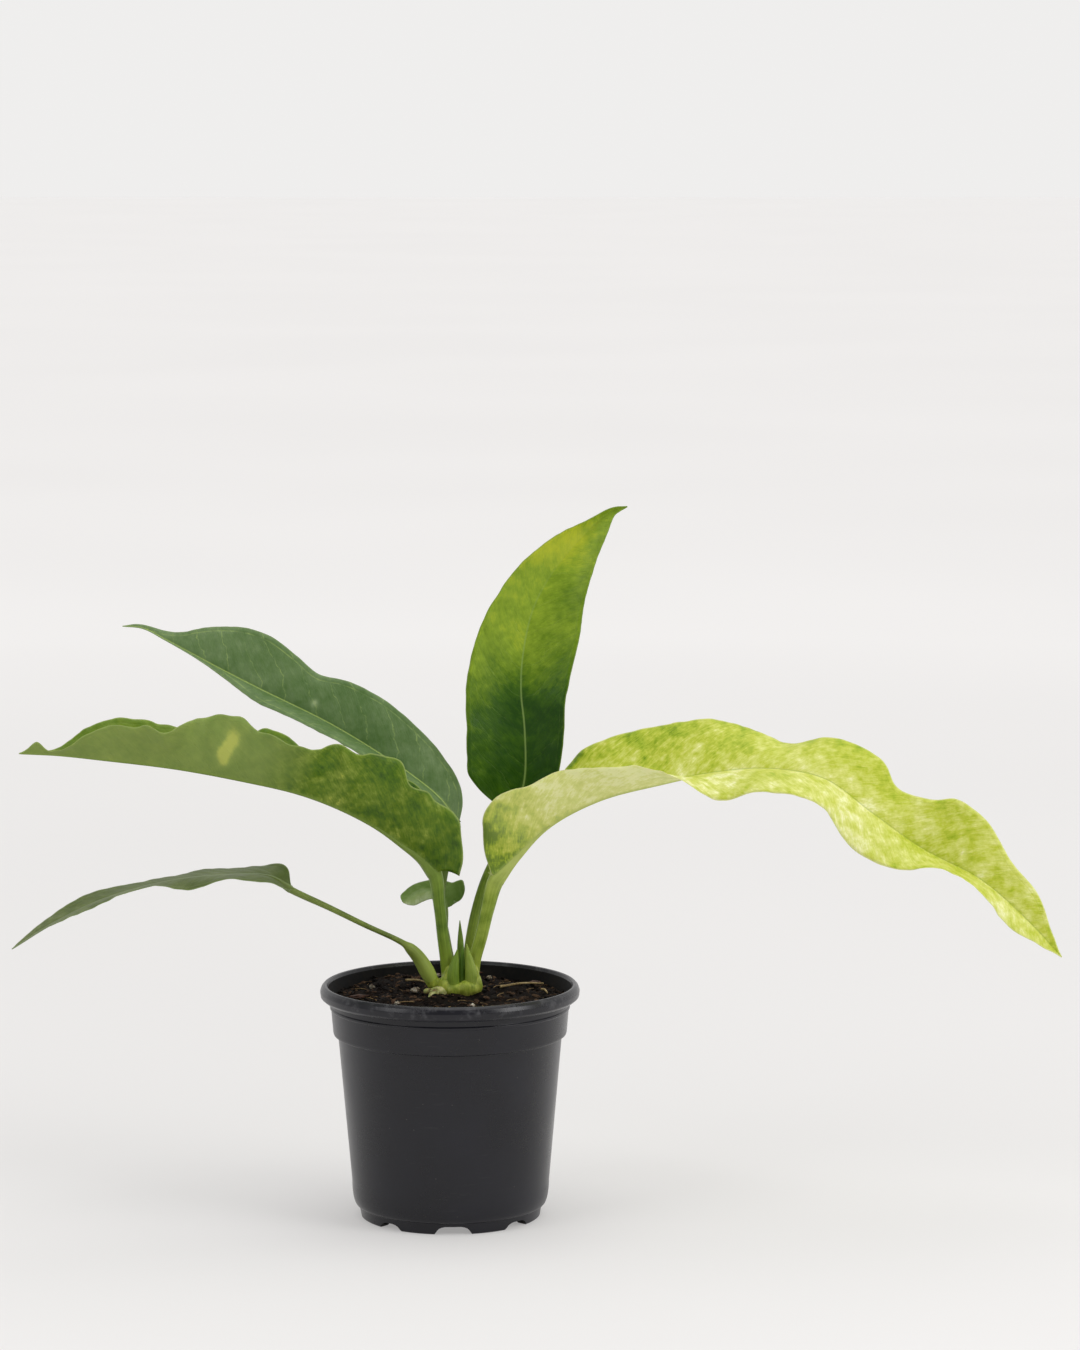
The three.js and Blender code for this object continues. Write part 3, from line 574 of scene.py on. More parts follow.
def barkMaterial():
    # composted pine bark: reddish brown flakes with layered edges
    material, tree, place = startMaterial("bark_composted", {"Specular IOR Level": 0.3})
    layers = addNode(tree, "ShaderNodeMapping", {0: place, 3: (0.3, 0.3, 2.5)})
    flakes = addNode(tree, "ShaderNodeTexNoise",
                     {"Vector": layers, "Scale": 1 / (2.4 * mm), "Detail": 6, "Roughness": 0.7})
    colour = addNode(tree, "ShaderNodeValToRGB", {0: flakes},
                     stops=[(0.3, "#1d0f08"), (0.72, "#6a4328"), (0.5, "#402414")])
    roughness = addNode(tree, "ShaderNodeMapRange", {0: flakes, 3: 0.65, 4: 0.9})
    return finishMaterial(material, colour, roughness, flakes, 0.5 * mm)


def strawMaterial():
    # dry straw and root fibre: pale tan, dull, with lengthwise lines
    material, tree, place = startMaterial("straw_dry", {"Specular IOR Level": 0.35})
    patches = addNode(tree, "ShaderNodeTexNoise",
                      {"Vector": place, "Scale": 1 / (3 * mm), "Detail": 5, "Roughness": 0.65})
    colour = addNode(tree, "ShaderNodeValToRGB", {0: patches},
                     stops=[(0.3, "#4d3b22"), (0.72, "#b9a67a"), (0.5, "#8f7a50")])
    fine = addNode(tree, "ShaderNodeTexNoise", {"Vector": place, "Scale": 1 / (0.5 * mm), "Detail": 3})
    roughness = addNode(tree, "ShaderNodeMapRange", {0: fine, 3: 0.6, 4: 0.85})
    return finishMaterial(material, colour, roughness, fine, 0.15 * mm)


perliteNodes = sorted(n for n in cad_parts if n.startswith("perlite"))
barkNodes = sorted(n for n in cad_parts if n.startswith("bark"))
strawNodes = sorted(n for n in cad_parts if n.startswith("straw"))
grains("perlite_grains", perliteNodes, perliteMaterial(), "perlite", 0.5)
grains("bark_flakes", barkNodes, barkMaterial(), "bark", 0.5, flatten=0.6)


def smoothPath(points, perSpan=40):
    # centripetal curve through the points: places, and each place's share of the length
    given = [Vector(p) for p in points]
    given = [2 * given[0] - given[1], *given, 2 * given[-1] - given[-2]]
    places = []
    for a, b, c, d in zip(given, given[1:], given[2:], given[3:]):
        gaps = [max((q - p).length ** 0.5, 1e-4) for p, q in ((a, b), (b, c), (c, d))]
        leave = ((b - a) / gaps[0] - (c - a) / (gaps[0] + gaps[1]) + (c - b) / gaps[1]) * gaps[1]
        reach = ((c - b) / gaps[1] - (d - b) / (gaps[1] + gaps[2]) + (d - c) / gaps[2]) * gaps[1]
        for k in range(perSpan):
            t = k / perSpan
            places.append(b * (2 * t ** 3 - 3 * t ** 2 + 1) + leave * (t ** 3 - 2 * t ** 2 + t)
                          + c * (3 * t ** 2 - 2 * t ** 3) + reach * (t ** 3 - t ** 2))
    places = np.array([*places, given[-2]])
    steps = np.linalg.norm(np.diff(places, axis=0), axis=1)
    lengths = np.concatenate([[0], np.cumsum(steps)])
    return places, lengths / lengths[-1], lengths[-1]


def pathAt(path, shares):
    places, marks, _ = path
    shares = np.clip(shares, 0, 1)
    return np.stack([np.interp(shares, marks, places[:, axis]) for axis in range(3)], axis=1)


def tangentAt(path, shares, step=0.004):
    ahead = pathAt(path, np.asarray(shares) + step) - pathAt(path, np.asarray(shares) - step)
    return ahead / np.linalg.norm(ahead, axis=1, keepdims=True)


def columnAt(rows, column, shares):
    # one column of the rows at each share, along a smooth curve through them
    marks = np.array([row[0] for row in rows], float)
    values = np.array([row[column] for row in rows], float)
    slopes = np.gradient(values, marks)
    slopes[1:-1] = (values[2:] - values[:-2]) / (marks[2:] - marks[:-2])
    spot = np.clip(np.searchsorted(marks, shares, side="right") - 1, 0, len(marks) - 2)
    span = marks[spot + 1] - marks[spot]
    t = np.clip((shares - marks[spot]) / span, 0, 1)
    ease = t * t * (3 - 2 * t)
    bend = t * (1 - t) * ((1 - t) * slopes[spot] - t * slopes[spot + 1]) * span
    return values[spot] + ease * (values[spot + 1] - values[spot]) + bend


def sectionFrame(tangent):
    front = np.array([0, -1.0, 0]) + tangent * tangent[:, 1:2]
    front /= np.linalg.norm(front, axis=1, keepdims=True)
    return front, np.cross(front, tangent)


def stalkTree():
    # a round stalk along a path, as thick as the path's radius says
    tree, given = startTree("stalk", {"Path": "Geometry", "Sides": "Int", "Finish": "Material"})
    share = addNode(tree, "GeometryNodeSplineParameter", out="Factor")
    marked = addNode(tree, "GeometryNodeStoreNamedAttribute",
                     {"Geometry": given["Path"], "Name": "along", "Value": share},
                     data_type="FLOAT", domain="POINT")
    radius = addNode(tree, "GeometryNodeInputRadius")
    ring = addNode(tree, "GeometryNodeCurvePrimitiveCircle",
                   {"Resolution": given["Sides"], "Radius": 1.0})
    turn = addNode(tree, "GeometryNodeSplineParameter", out="Factor")
    ringMarked = addNode(tree, "GeometryNodeStoreNamedAttribute",
                         {"Geometry": ring, "Name": "round", "Value": turn},
                         data_type="FLOAT", domain="POINT")
    tube = addNode(tree, "GeometryNodeCurveToMesh",
                   {"Curve": marked, "Profile Curve": ringMarked, "Scale": radius, "Fill Caps": True})
    smooth = addNode(tree, "GeometryNodeSetShadeSmooth", {0: tube})
    return finishTree(tree, smooth, given["Finish"])


stalks = stalkTree()


def stalkCurve(name, splines):
    # one curve object; each spline is places in mm from the peat's level, and radii in mm
    curve = bpy.data.curves.new(name, "CURVE")
    curve.dimensions = "3D"
    for places, radii in splines:
        spline = curve.splines.new("POLY")
        spline.points.add(len(places) - 1)
        for point, place, radius in zip(spline.points, places, radii):
            point.co = (*(Vector(place) * mm + Vector((0, 0, peatLevel))), 1)
            point.radius = radius * mm
    piece = bpy.data.objects.new(name, curve)
    bpy.context.scene.collection.objects.link(piece)
    return piece


# Each leaf is a rib of points in mm from the crown's foot, and for each half rows of: share of the rib,
# width, angle at the rib, angle of the edge. The tone rows are: share, then how light the near edge,
# the middle and the far edge are, on the leaf's own scale of greens; they hold the leaf's own colour
# together with painted light and shade from how the light falls on each part. patches are lighter
# spots: share, how far from the rib, radius, and how much lighter.
usualLeaf = {
    "turn": -1, "lobes": {"near": 0, "far": 0}, "ribAmount": 0.5, "veins": 0.1, "marbling": (0.2, 0.2),
    "underMarbling": 1.0, "underFrom": (0.02, 0.13), "patches": [],
}
leaves = {
    "right": {
        "turn": 1,
        "petiole": [(12, 6, 4), (14, 6, 18), (18, 6, 32), (22, 5, 49)],
        "radii": [(0, 4.3), (0.3, 3.7), (0.7, 3.8), (1, 4.8)],
        "rib": [(27, 4, 66), (38, 2, 80), (56, 0, 98), (86, -4, 114), (122, -9, 124), (152, -15, 131),
                (184, -22, 134), (214, -29, 129), (240, -37, 111), (268, -46, 92), (300, -56, 76),
                (325, -64, 55), (345, -70, 34)],
        "near": [(0, 4, 50, 60), (0.03, 18, 50, 78), (0.06, 29, 45, 79), (0.09, 34, 45, 74),
                 (0.13, 32, 40, 59), (0.18, 34, 36, 52), (0.24, 32, 28, 37), (0.3, 32, 18, 28),
                 (0.35, 31, 8, 8), (0.4, 31, 0, -22), (0.47, 31, -2, -17), (0.53, 31, -6, -19),
                 (0.6, 28, -15, -30), (0.66, 29, -25, -48), (0.72, 26, -25, -40), (0.78, 20, -20, -10),
                 (0.86, 17, -15, -18), (0.92, 15, -25, -38), (0.96, 8, -30, -40), (1, 1, -30, -40)],
        "far": [(0, 4, 170, 170), (0.05, 13, 168, 170), (0.1, 25, 150, 162), (0.15, 33, 140, 150),
                (0.2, 40, 135, 139), (0.31, 40, 128, 134), (0.38, 38, 126, 135), (0.43, 33, 126, 142),
                (0.49, 26, 125, 152), (0.54, 29, 120, 134), (0.6, 30, 115, 118), (0.65, 22, 112, 117),
                (0.7, 26, 105, 106), (0.74, 34, 100, 101), (0.8, 31, 98, 102), (0.85, 19, 98, 102),
                (0.91, 15, 97, 99), (0.96, 6, 97, 98), (1, 1, 97, 97)],
        "greens": ["#587a06", "#91a81a", "#b7c03f", "#cfd372", "#eaeab4"],
        "tonesAndPaintedLight": [(0, 0.0, 0.1, 0.3), (0.05, 0.05, 0.25, 0.3), (0.1, 0.5, 0.5, 0.3), (0.16, 1.0, 0.6, 0.3),
                  (0.28, 1.0, 0.65, 0.35), (0.36, 0.75, 0.62, 0.42), (0.45, 0.6, 0.66, 0.5),
                  (0.55, 0.65, 0.72, 0.5), (0.65, 0.78, 0.75, 0.42), (0.72, 0.52, 0.6, 0.5),
                  (0.8, 0.62, 0.6, 0.58), (0.9, 0.75, 0.65, 0.65), (1, 0.5, 0.5, 0.5)],
        "patches": [(0.22, -18, 9, 0.15)], "marbling": (0.46, 0.36), "ribLine": "#7f9430",
        "tipRib": 0.35, "veins": 0.05, "margin": "#dfe2a0", "keel": "#b9c46c",
        # under: the pale underside, brightened further as painted light on the fold that faces the front
        "under": "#f0f2a4", "underAmount": 0.5, "underMarbling": 1.2, "ripple": 1.1, "scallop": 0.8,
        "underFrom": (0.04, 0.17), "gloss": 0.42,
    },
    "upright": {
        "turn": 1,
        "petiole": [(10, 15, 4), (11, 18, 20), (14, 23, 40), (20, 29, 61), (29, 34, 80)],
        "radii": [(0, 4), (0.3, 3.2), (0.7, 2.6), (1, 3)],
        "rib": [(37, 37, 97), (43, 39, 120), (43, 41, 149), (41, 43, 170), (42, 46, 191), (48, 49, 218),
                (60, 53, 240), (78, 57, 261), (93, 59, 274), (103, 60, 277)],
        "near": [(0, 3, 80, 80), (0.02, 12, 85, 80), (0.045, 24, 85, 79), (0.08, 32, 85, 77),
                 (0.13, 35, 85, 75), (0.285, 35, 84, 72), (0.4, 33, 82, 70), (0.52, 29, 82, 69),
                 (0.62, 23, 80, 68), (0.71, 19, 80, 65), (0.82, 12, 80, 59), (0.91, 5, 70, 47),
                 (1, 1, 60, 47)],
        "far": [(0, 3, -85, -80), (0.03, 10, -85, -78), (0.08, 16, -86, -76), (0.13, 20, -86, -72),
                (0.2, 23, -85, -71), (0.3, 26, -85, -72), (0.42, 30, -85, -75), (0.57, 31, -85, -76),
                (0.72, 24, -84, -70), (0.83, 16, -80, -63), (0.91, 9, -75, -62), (0.96, 3, -70, -66),
                (1, 1, -70, -66)],
        "greens": ["#1f4400", "#365a02", "#5c7a10", "#849d26", "#b0b92e"],
        "tonesAndPaintedLight": [(0, 0.2, 0.0, 0.0), (0.12, 0.3, 0.0, 0.0), (0.25, 0.25, 0.05, 0.0), (0.33, 0.4, 0.1, 0.1),
                  (0.42, 0.6, 0.5, 0.42), (0.5, 0.7, 0.76, 0.5), (0.6, 0.78, 0.68, 0.6),
                  (0.7, 0.85, 0.7, 0.55), (0.8, 1.0, 0.95, 0.65), (0.88, 0.8, 0.8, 0.7),
                  (1, 0.65, 0.65, 0.65)],
        "patches": [(0.83, -2, 6, 0.14), (0.77, -5, 5, 0.1)], "marbling": (0.24, 0.18),
        "ribLine": "#8aa25a", "ribAmount": 0.6, "tipRib": 0.05, "veins": 0.07, "margin": "#7c9142",
        "keel": "#6c8032", "under": "#7c8f55", "underAmount": 0.45, "ripple": 0.6,
        "scallop": 0.4, "gloss": 0.38,
    },
    "back_left": {
        "petiole": [(1, 17, 4), (-3, 20, 27), (-6, 21, 50), (-2, 22, 76)],
        "radii": [(0, 3.9), (0.3, 3), (0.7, 2.6), (1, 3)],
        "rib": [(3, 22, 95), (-6, 26, 109), (-22, 32, 122), (-41, 38, 134), (-71, 46, 151),
                (-112, 56, 170), (-141, 63, 184), (-167, 70, 197), (-182, 74, 204), (-194, 76, 205)],
        "near": [(0, 3, -20, -36), (0.05, 10, -12, -28), (0.1, 15, -5, -20), (0.2, 21, 0, -9),
                 (0.32, 22, 0, -9), (0.42, 20, 0, -13), (0.51, 17, -5, -17), (0.58, 14, -10, -25),
                 (0.66, 8, -15, -35), (0.74, 4, -10, -30), (0.82, 2, 0, -20), (1, 1, 0, 0)],
        "far": [(0, 3, 125, 129), (0.04, 11, 118, 120), (0.1, 18, 112, 118), (0.19, 24, 108, 115),
                (0.32, 29, 104, 112), (0.42, 28, 104, 112), (0.495, 24, 104, 114), (0.57, 28, 104, 111),
                (0.65, 31, 104, 109), (0.73, 28, 104, 109), (0.81, 18, 106, 112), (0.86, 9, 112, 125),
                (0.92, 4, 118, 135), (1, 1, 118, 135)],
        "greens": ["#38551f", "#4c6834", "#61794a", "#788d60", "#9aa77c"],
        "tonesAndPaintedLight": [(0, 0.5, 0.45, 0.45), (0.2, 0.4, 0.35, 0.4), (0.5, 0.45, 0.35, 0.4),
                  (0.8, 0.5, 0.45, 0.5), (1, 0.5, 0.5, 0.5)],
        "patches": [(0.47, 7, 2.2, 0.55), (0.17, 14, 9, 0.18), (0.68, 20, 8, 0.12)],
        "ribLine": "#9cb060", "ribAmount": 0.95, "tipRib": 0.7, "veins": 0.34, "margin": "#7d8f5f",
        "keel": "#728442", "under": "#7a8c64", "underAmount": 0.5, "ripple": 0.7, "scallop": 0.6,
        "gloss": 0.44,
    },
    "front_left": {
        "lobes": {"near": 8, "far": 0},
        "petiole": [(0, 6, 4), (-2, 5, 18), (-4, 4, 32), (-6, 3, 50)],
        "radii": [(0, 4.5), (0.3, 3.6), (0.7, 3.4), (1, 4.4)],
        "rib": [(-9, 2, 70), (-16, 0, 79), (-27, -3, 88), (-42, -7, 99), (-64, -13, 111), (-86, -19, 120),
                (-115, -27, 128), (-152, -34, 136), (-195, -40, 142), (-221, -43, 145), (-242, -45, 146)],
        "near": [(0, 14, 45, 52), (0.015, 21, 45, 60), (0.035, 28, 45, 67), (0.06, 35, 48, 70),
                 (0.13, 35, 52, 74), (0.18, 36, 55, 67), (0.215, 41, 55, 77), (0.25, 41, 55, 76),
                 (0.29, 37, 55, 68), (0.33, 37, 58, 80), (0.37, 33, 58, 64), (0.43, 31, 58, 61),
                 (0.49, 32, 60, 72), (0.57, 37, 62, 82), (0.625, 33, 62, 78), (0.68, 30, 60, 50),
                 (0.75, 28, 60, 56), (0.81, 23, 60, 62), (0.86, 18, 58, 54), (0.91, 7, 55, 35),
                 (0.935, 3, 55, 50), (0.96, 7, 60, 74), (0.98, 4, 60, 72), (1, 1, 60, 72)],
        "far": [(0, 4, 136, 136), (0.02, 20, 134, 130), (0.05, 30, 130, 124), (0.13, 35, 126, 123),
                (0.2, 35, 124, 127), (0.28, 33, 122, 131), (0.34, 28, 120, 136), (0.41, 32, 118, 126),
                (0.46, 34, 118, 121), (0.51, 31, 120, 134), (0.58, 29, 120, 138), (0.65, 27, 118, 133),
                (0.72, 27, 116, 124), (0.79, 26, 114, 121), (0.86, 18, 114, 126), (0.9, 8, 114, 134),
                (0.93, 3, 114, 134), (1, 1, 114, 120)],
        "greens": ["#234500", "#406200", "#5a750a", "#7e9130", "#c4c650"],
        "tonesAndPaintedLight": [(0, 0.3, 0.4, 0.2), (0.05, 0.3, 0.4, 0.2), (0.15, 0.35, 0.45, 0.2), (0.27, 0.4, 0.5, 0.3),
                  (0.4, 0.5, 0.55, 0.4), (0.55, 0.57, 0.58, 0.5), (0.6, 0.6, 0.6, 0.5),
                  (0.7, 0.65, 0.65, 0.5), (1, 0.65, 0.65, 0.5)],
        "patches": [(0.545, -27, 5, 0.35), (0.55, -21, 4.5, 0.5), (0.56, -15, 4, 0.6),
                    (0.555, -10, 3.5, 0.45), (0.3, -25, 8, 0.15)],
        "marbling": (0.46, 0.16), "ribLine": "#8fa24e", "tipRib": 0.4, "margin": "#9fae62",
        "keel": "#768b3c", "under": "#8c9c60", "underAmount": 0.45, "ripple": 1.7, "scallop": 3.4,
        "underFrom": (0.36, 0.47), "gloss": 0.42,
    },
    "low_left": {
        "petiole": [(-9, 3, 4), (-13, 1, 12), (-18, -1, 21), (-24, -4, 28), (-30, -5, 32), (-48, -8, 41),
                    (-69, -11, 52)],
        "radii": [(0, 3.4), (0.08, 4.4), (0.15, 4.2), (0.26, 3.2), (0.31, 1.8), (0.6, 1.6), (1, 2)],
        "rib": [(-91, -14, 63), (-103, -17, 71), (-131, -23, 73), (-164, -30, 70), (-198, -38, 61),
                (-226, -45, 48), (-247, -50, 35)],
        "near": [(0, 2, -8, -8), (0.05, 8, 0, -8), (0.15, 15, 5, -7), (0.25, 18, 5, 1), (0.38, 18, 0, -14),
                 (0.5, 15, 5, 5), (0.72, 17, 5, -2), (0.82, 16, 5, 1), (0.91, 10, 5, 5), (1, 1, 5, 5)],
        "far": [(0, 3, 155, 150), (0.04, 13, 150, 146), (0.09, 18, 165, 172), (0.21, 18, 175, 178),
                (0.3, 17, 178, 177), (0.38, 13, 178, 179), (0.5, 11, 178, 175), (0.65, 14, 168, 165),
                (0.76, 12, 165, 160), (0.88, 8, 163, 163), (1, 1, 163, 163)],
        "greens": ["#324514", "#45551f", "#586632", "#6b7744", "#8a9a66"],
        "tonesAndPaintedLight": [(0, 0.4, 0.4, 0.4), (0.3, 0.5, 0.4, 0.4), (0.7, 0.5, 0.5, 0.5), (1, 0.55, 0.55, 0.55)],
        "patches": [(0.6, -8, 6, 0.15), (0.25, 6, 6, 0.15)], "marbling": (0.2, 0.26),
        "ribLine": "#93a274", "tipRib": 0.3, "margin": "#8d9c6c",
        "keel": "#6d7c3c", "under": "#8a9a78", "underAmount": 0.4, "ripple": 0.6,
        "scallop": 0.5, "gloss": 0.46,
    },
    "young": {
        "lobes": {"near": 0, "far": -3},
        "petiole": [(2, 23, 4), (-1, 26, 16), (-3, 30, 29)],
        "radii": [(0, 1.8), (0.5, 1.4), (1, 1.3)],
        "rib": [(-3, 33, 44), (-5, 34, 50), (-10, 35, 54), (-19, 34, 54), (-28, 30, 48)],
        "near": [(0, 2, -60, -60), (0.15, 5, -50, -50), (0.4, 8, -20, -30), (0.7, 8, -20, -50),
                 (0.9, 7, -30, -50), (1, 2, -30, -50)],
        "far": [(0, 6, 82, 82), (0.07, 9.5, 85, 85), (0.13, 12.5, 87, 87), (0.18, 15, 88, 88),
                (0.22, 15.5, 90, 90), (0.26, 10, 96, 96), (0.5, 6, 120, 125), (0.8, 5.5, 130, 135),
                (0.93, 5, 130, 135), (1, 2, 130, 135)],
        "greens": ["#4c6c1e", "#5f7d32", "#78934c", "#97ab6c", "#bcc99c"],
        "tonesAndPaintedLight": [(0, 0.4, 0.3, 0.3), (0.35, 0.5, 0.35, 0.3), (0.5, 1.0, 0.5, 0.35), (1, 1.0, 0.6, 0.4)],
        "ribLine": "#8b9b68", "ribAmount": 0.4, "tipRib": 0.3, "margin": "#8d9c6c", "keel": "#7f9552",
        "under": "#c4ceb2", "underAmount": 0.6, "ripple": 0.2, "scallop": 0, "gloss": 0.45,
    },
}

bladeShape = {
    "stations": 240, "across": 18, "thickness": 0.6, "edgeThickness": 0.24,
    "keel": 0.9, "fadeBelow": 34, "fadeAbove": 12, "groove": 0.15, "lobeShare": 0.03,
    "veinSpacing": 9.5, "veinSlant": 0.75, "veinCurl": 0.011, "pucker": 0.2,
    "rippleSize": 13, "scallopSize": 10, "farScallop": 0.3,
    # a stalk's sections up to its blade, and how far and in how many it runs on in the keel
    "stalkSteps": 64, "keelRun": 45, "keelShare": 0.25, "keelSteps": 16,
}


def keelDepths(distance, endRadius):
    # how far the stalk stands out below and above the blade, that far along the rib from the blade's start
    least = bladeShape["keel"]
    below = (endRadius - least) * np.exp(-distance / bladeShape["fadeBelow"]) + least
    above = endRadius * np.exp(-distance / bladeShape["fadeAbove"])
    return below, above


def leafMaterial(name, leaf):
    # living leaf: waxy skin over green tissue, marbled along the side veins, paler and duller beneath
    material, tree, place = startMaterial(
        "leaf_waxy_" + name, {"IOR": 1.42, "Specular IOR Level": 0.26, "Subsurface Weight": 0.08,
                              "Subsurface Scale": 1 * mm, "Subsurface Radius": (0.7, 1.0, 0.15)})
    veinMap = addNode(tree, "ShaderNodeUVMap", uv_map="veinMap")
    origin = addNode(tree, "ShaderNodeSeparateXYZ", {0: veinMap}, out="X")
    fromRib, edgeGap, upper, light, onKeel, alongRib = (
        addNode(tree, "ShaderNodeAttribute", out="Fac", attribute_name=key)
        for key in ("fromRib", "edgeGap", "upper", "light", "onKeel", "alongRib"))
    broad = addNode(tree, "ShaderNodeTexNoise", {"Vector": place, "Scale": 1 / (15 * mm), "Detail": 4,
                                                 "Roughness": 0.55})
    # marks that lie along the side veins: 3.4 mm wide and 5.6 mm long, and fine ones 1.1 by 3.2 mm
    alongVeins = addNode(tree, "ShaderNodeMapping", {0: veinMap, 3: (1 / (3.4 * mm), 1 / (5.6 * mm), 1)})
    strokes = addNode(tree, "ShaderNodeTexNoise",
                      {"Vector": alongVeins, "Scale": 1.0, "Detail": 5, "Roughness": 0.6})
    patches = addNode(tree, "ShaderNodeTexNoise",
                      {"Vector": place, "Scale": 1 / (5.5 * mm), "Detail": 5, "Roughness": 0.6})
    marks = addNode(tree, "ShaderNodeMix", {0: 0.4, 2: patches, 3: strokes}, data_type="FLOAT")
    finely = addNode(tree, "ShaderNodeMapping", {0: veinMap, 3: (1 / (1.1 * mm), 1 / (3.2 * mm), 1)})
    fine = addNode(tree, "ShaderNodeTexNoise",
                   {"Vector": finely, "Scale": 1.0, "Detail": 4, "Roughness": 0.62})
    splash = addNode(tree, "ShaderNodeMapRange", {0: marks, 1: 0.36, 2: 0.64, 3: 0.1, 4: 0.9})
    mottle = addNode(tree, "ShaderNodeMix", {0: 0.36, 2: broad, 3: splash}, data_type="FLOAT")
    mottle = addNode(tree, "ShaderNodeMix", {0: 0.24, 2: mottle, 3: fine}, data_type="FLOAT")
    atBase, atTip = leaf["marbling"]
    swing = addNode(tree, "ShaderNodeMapRange", {0: mottle, 1: 0.3, 2: 0.7, 3: -1.0, 4: 1.0})
    amount = addNode(tree, "ShaderNodeMapRange", {0: alongRib, 1: 0.36, 2: 0.47, 3: atBase, 4: atTip})
    swing = addNode(tree, "ShaderNodeMath", {0: swing, 1: amount}, operation="MULTIPLY")
    contrast = addNode(tree, "ShaderNodeMapRange", {0: upper, 3: leaf["underMarbling"], 4: 1.0})
    # light: the leaf's tone, with painted light and shade from how the light falls on each part
    tone = addNode(tree, "ShaderNodeMath",
                   {0: swing, 1: contrast, 2: light}, operation="MULTIPLY_ADD", use_clamp=True)
    greens = addNode(tree, "ShaderNodeValToRGB", {0: tone},
                     stops=[(0, leaf["greens"][0]), (1, leaf["greens"][4]), (0.25, leaf["greens"][1]),
                            (0.5, leaf["greens"][2]), (0.75, leaf["greens"][3])])
    # side veins: where the vein's start along the rib is a whole number of spacings
    turnOf = addNode(tree, "ShaderNodeMath",
                     {0: origin, 1: bladeShape["veinSpacing"] * mm}, operation="DIVIDE")
    wobble = addNode(tree, "ShaderNodeMath", {0: broad, 1: 1.6, 2: turnOf}, operation="MULTIPLY_ADD")
    gap = addNode(tree, "ShaderNodeMath", {0: wobble, 1: 1.0}, operation="PINGPONG")
    veinLine = addNode(tree, "ShaderNodeMapRange", {0: gap, 1: 0.06, 2: 0.0})
    loopLine = addNode(tree, "ShaderNodeMath", {0: edgeGap, 1: 3.2 * mm}, operation="SUBTRACT")
    loopLine = addNode(tree, "ShaderNodeMath", {0: loopLine}, operation="ABSOLUTE")
    loopLine = addNode(tree, "ShaderNodeMapRange", {0: loopLine, 1: 0.55 * mm, 2: 0.0})
    lines = addNode(tree, "ShaderNodeMath", {0: veinLine, 1: loopLine}, operation="MAXIMUM")
    clear = addNode(tree, "ShaderNodeMapRange",
                    {0: patches, 1: 0.4, 2: 0.62, 3: 0.1 * leaf["veins"], 4: 1.6 * leaf["veins"]})
    veinShare = addNode(tree, "ShaderNodeMath", {0: lines, 1: clear}, operation="MULTIPLY")
    veined = addNode(tree, "ShaderNodeMix",
                     {0: veinShare, 6: greens, 7: linear(leaf["ribLine"])}, **ofColours)
    ribLine = addNode(tree, "ShaderNodeMapRange", {0: fromRib, 1: 0.75 * mm, 2: 0.25 * mm})
    # the rib's pale line fades towards the tip
    ribShare = addNode(tree, "ShaderNodeMapRange",
                       {0: alongRib, 1: 0.3, 2: 0.75, 3: leaf["ribAmount"], 4: leaf["tipRib"]})
    ribLine = addNode(tree, "ShaderNodeMath", {0: ribLine, 1: ribShare}, operation="MULTIPLY")
    ribbed = addNode(tree, "ShaderNodeMix",
                     {0: ribLine, 6: veined, 7: linear(leaf["ribLine"])}, **ofColours)
    edgeLine = addNode(tree, "ShaderNodeMapRange", {0: edgeGap, 1: 0.9 * mm, 2: 0.2 * mm, 3: 0.0, 4: 0.6})
    edged = addNode(tree, "ShaderNodeMix",
                    {0: edgeLine, 6: ribbed, 7: linear(leaf["margin"])}, **ofColours)
    beneath = addNode(tree, "ShaderNodeMapRange",
                      {0: upper, 1: 1.0, 2: 0.0, 3: 0.0, 4: leaf["underAmount"]})
    pastBase = addNode(tree, "ShaderNodeMapRange",
                       {0: alongRib, 1: leaf["underFrom"][0], 2: leaf["underFrom"][1], 3: 0.15, 4: 1.0})
    beneath = addNode(tree, "ShaderNodeMath", {0: beneath, 1: pastBase}, operation="MULTIPLY")
    lower = addNode(tree, "ShaderNodeMix", {0: beneath, 6: edged, 7: linear(leaf["under"])}, **ofColours)
    keelSkin = addNode(tree, "ShaderNodeMapRange", {0: onKeel, 3: 0.0, 4: 0.85})
    colour = addNode(tree, "ShaderNodeMix", {0: keelSkin, 6: lower, 7: linear(leaf["keel"])}, **ofColours)
    waxy = addNode(tree, "ShaderNodeMapRange",
                   {0: marks, 1: 0.3, 2: 0.7, 3: leaf["gloss"] - 0.06, 4: leaf["gloss"] + 0.1})
    roughness = addNode(tree, "ShaderNodeMath", {0: beneath, 1: 0.3, 2: waxy}, operation="MULTIPLY_ADD")
    relief = addNode(tree, "ShaderNodeMath", {0: lines, 1: -0.45, 2: fine}, operation="MULTIPLY_ADD")
    return finishMaterial(material, colour, roughness, relief, 0.16 * mm)


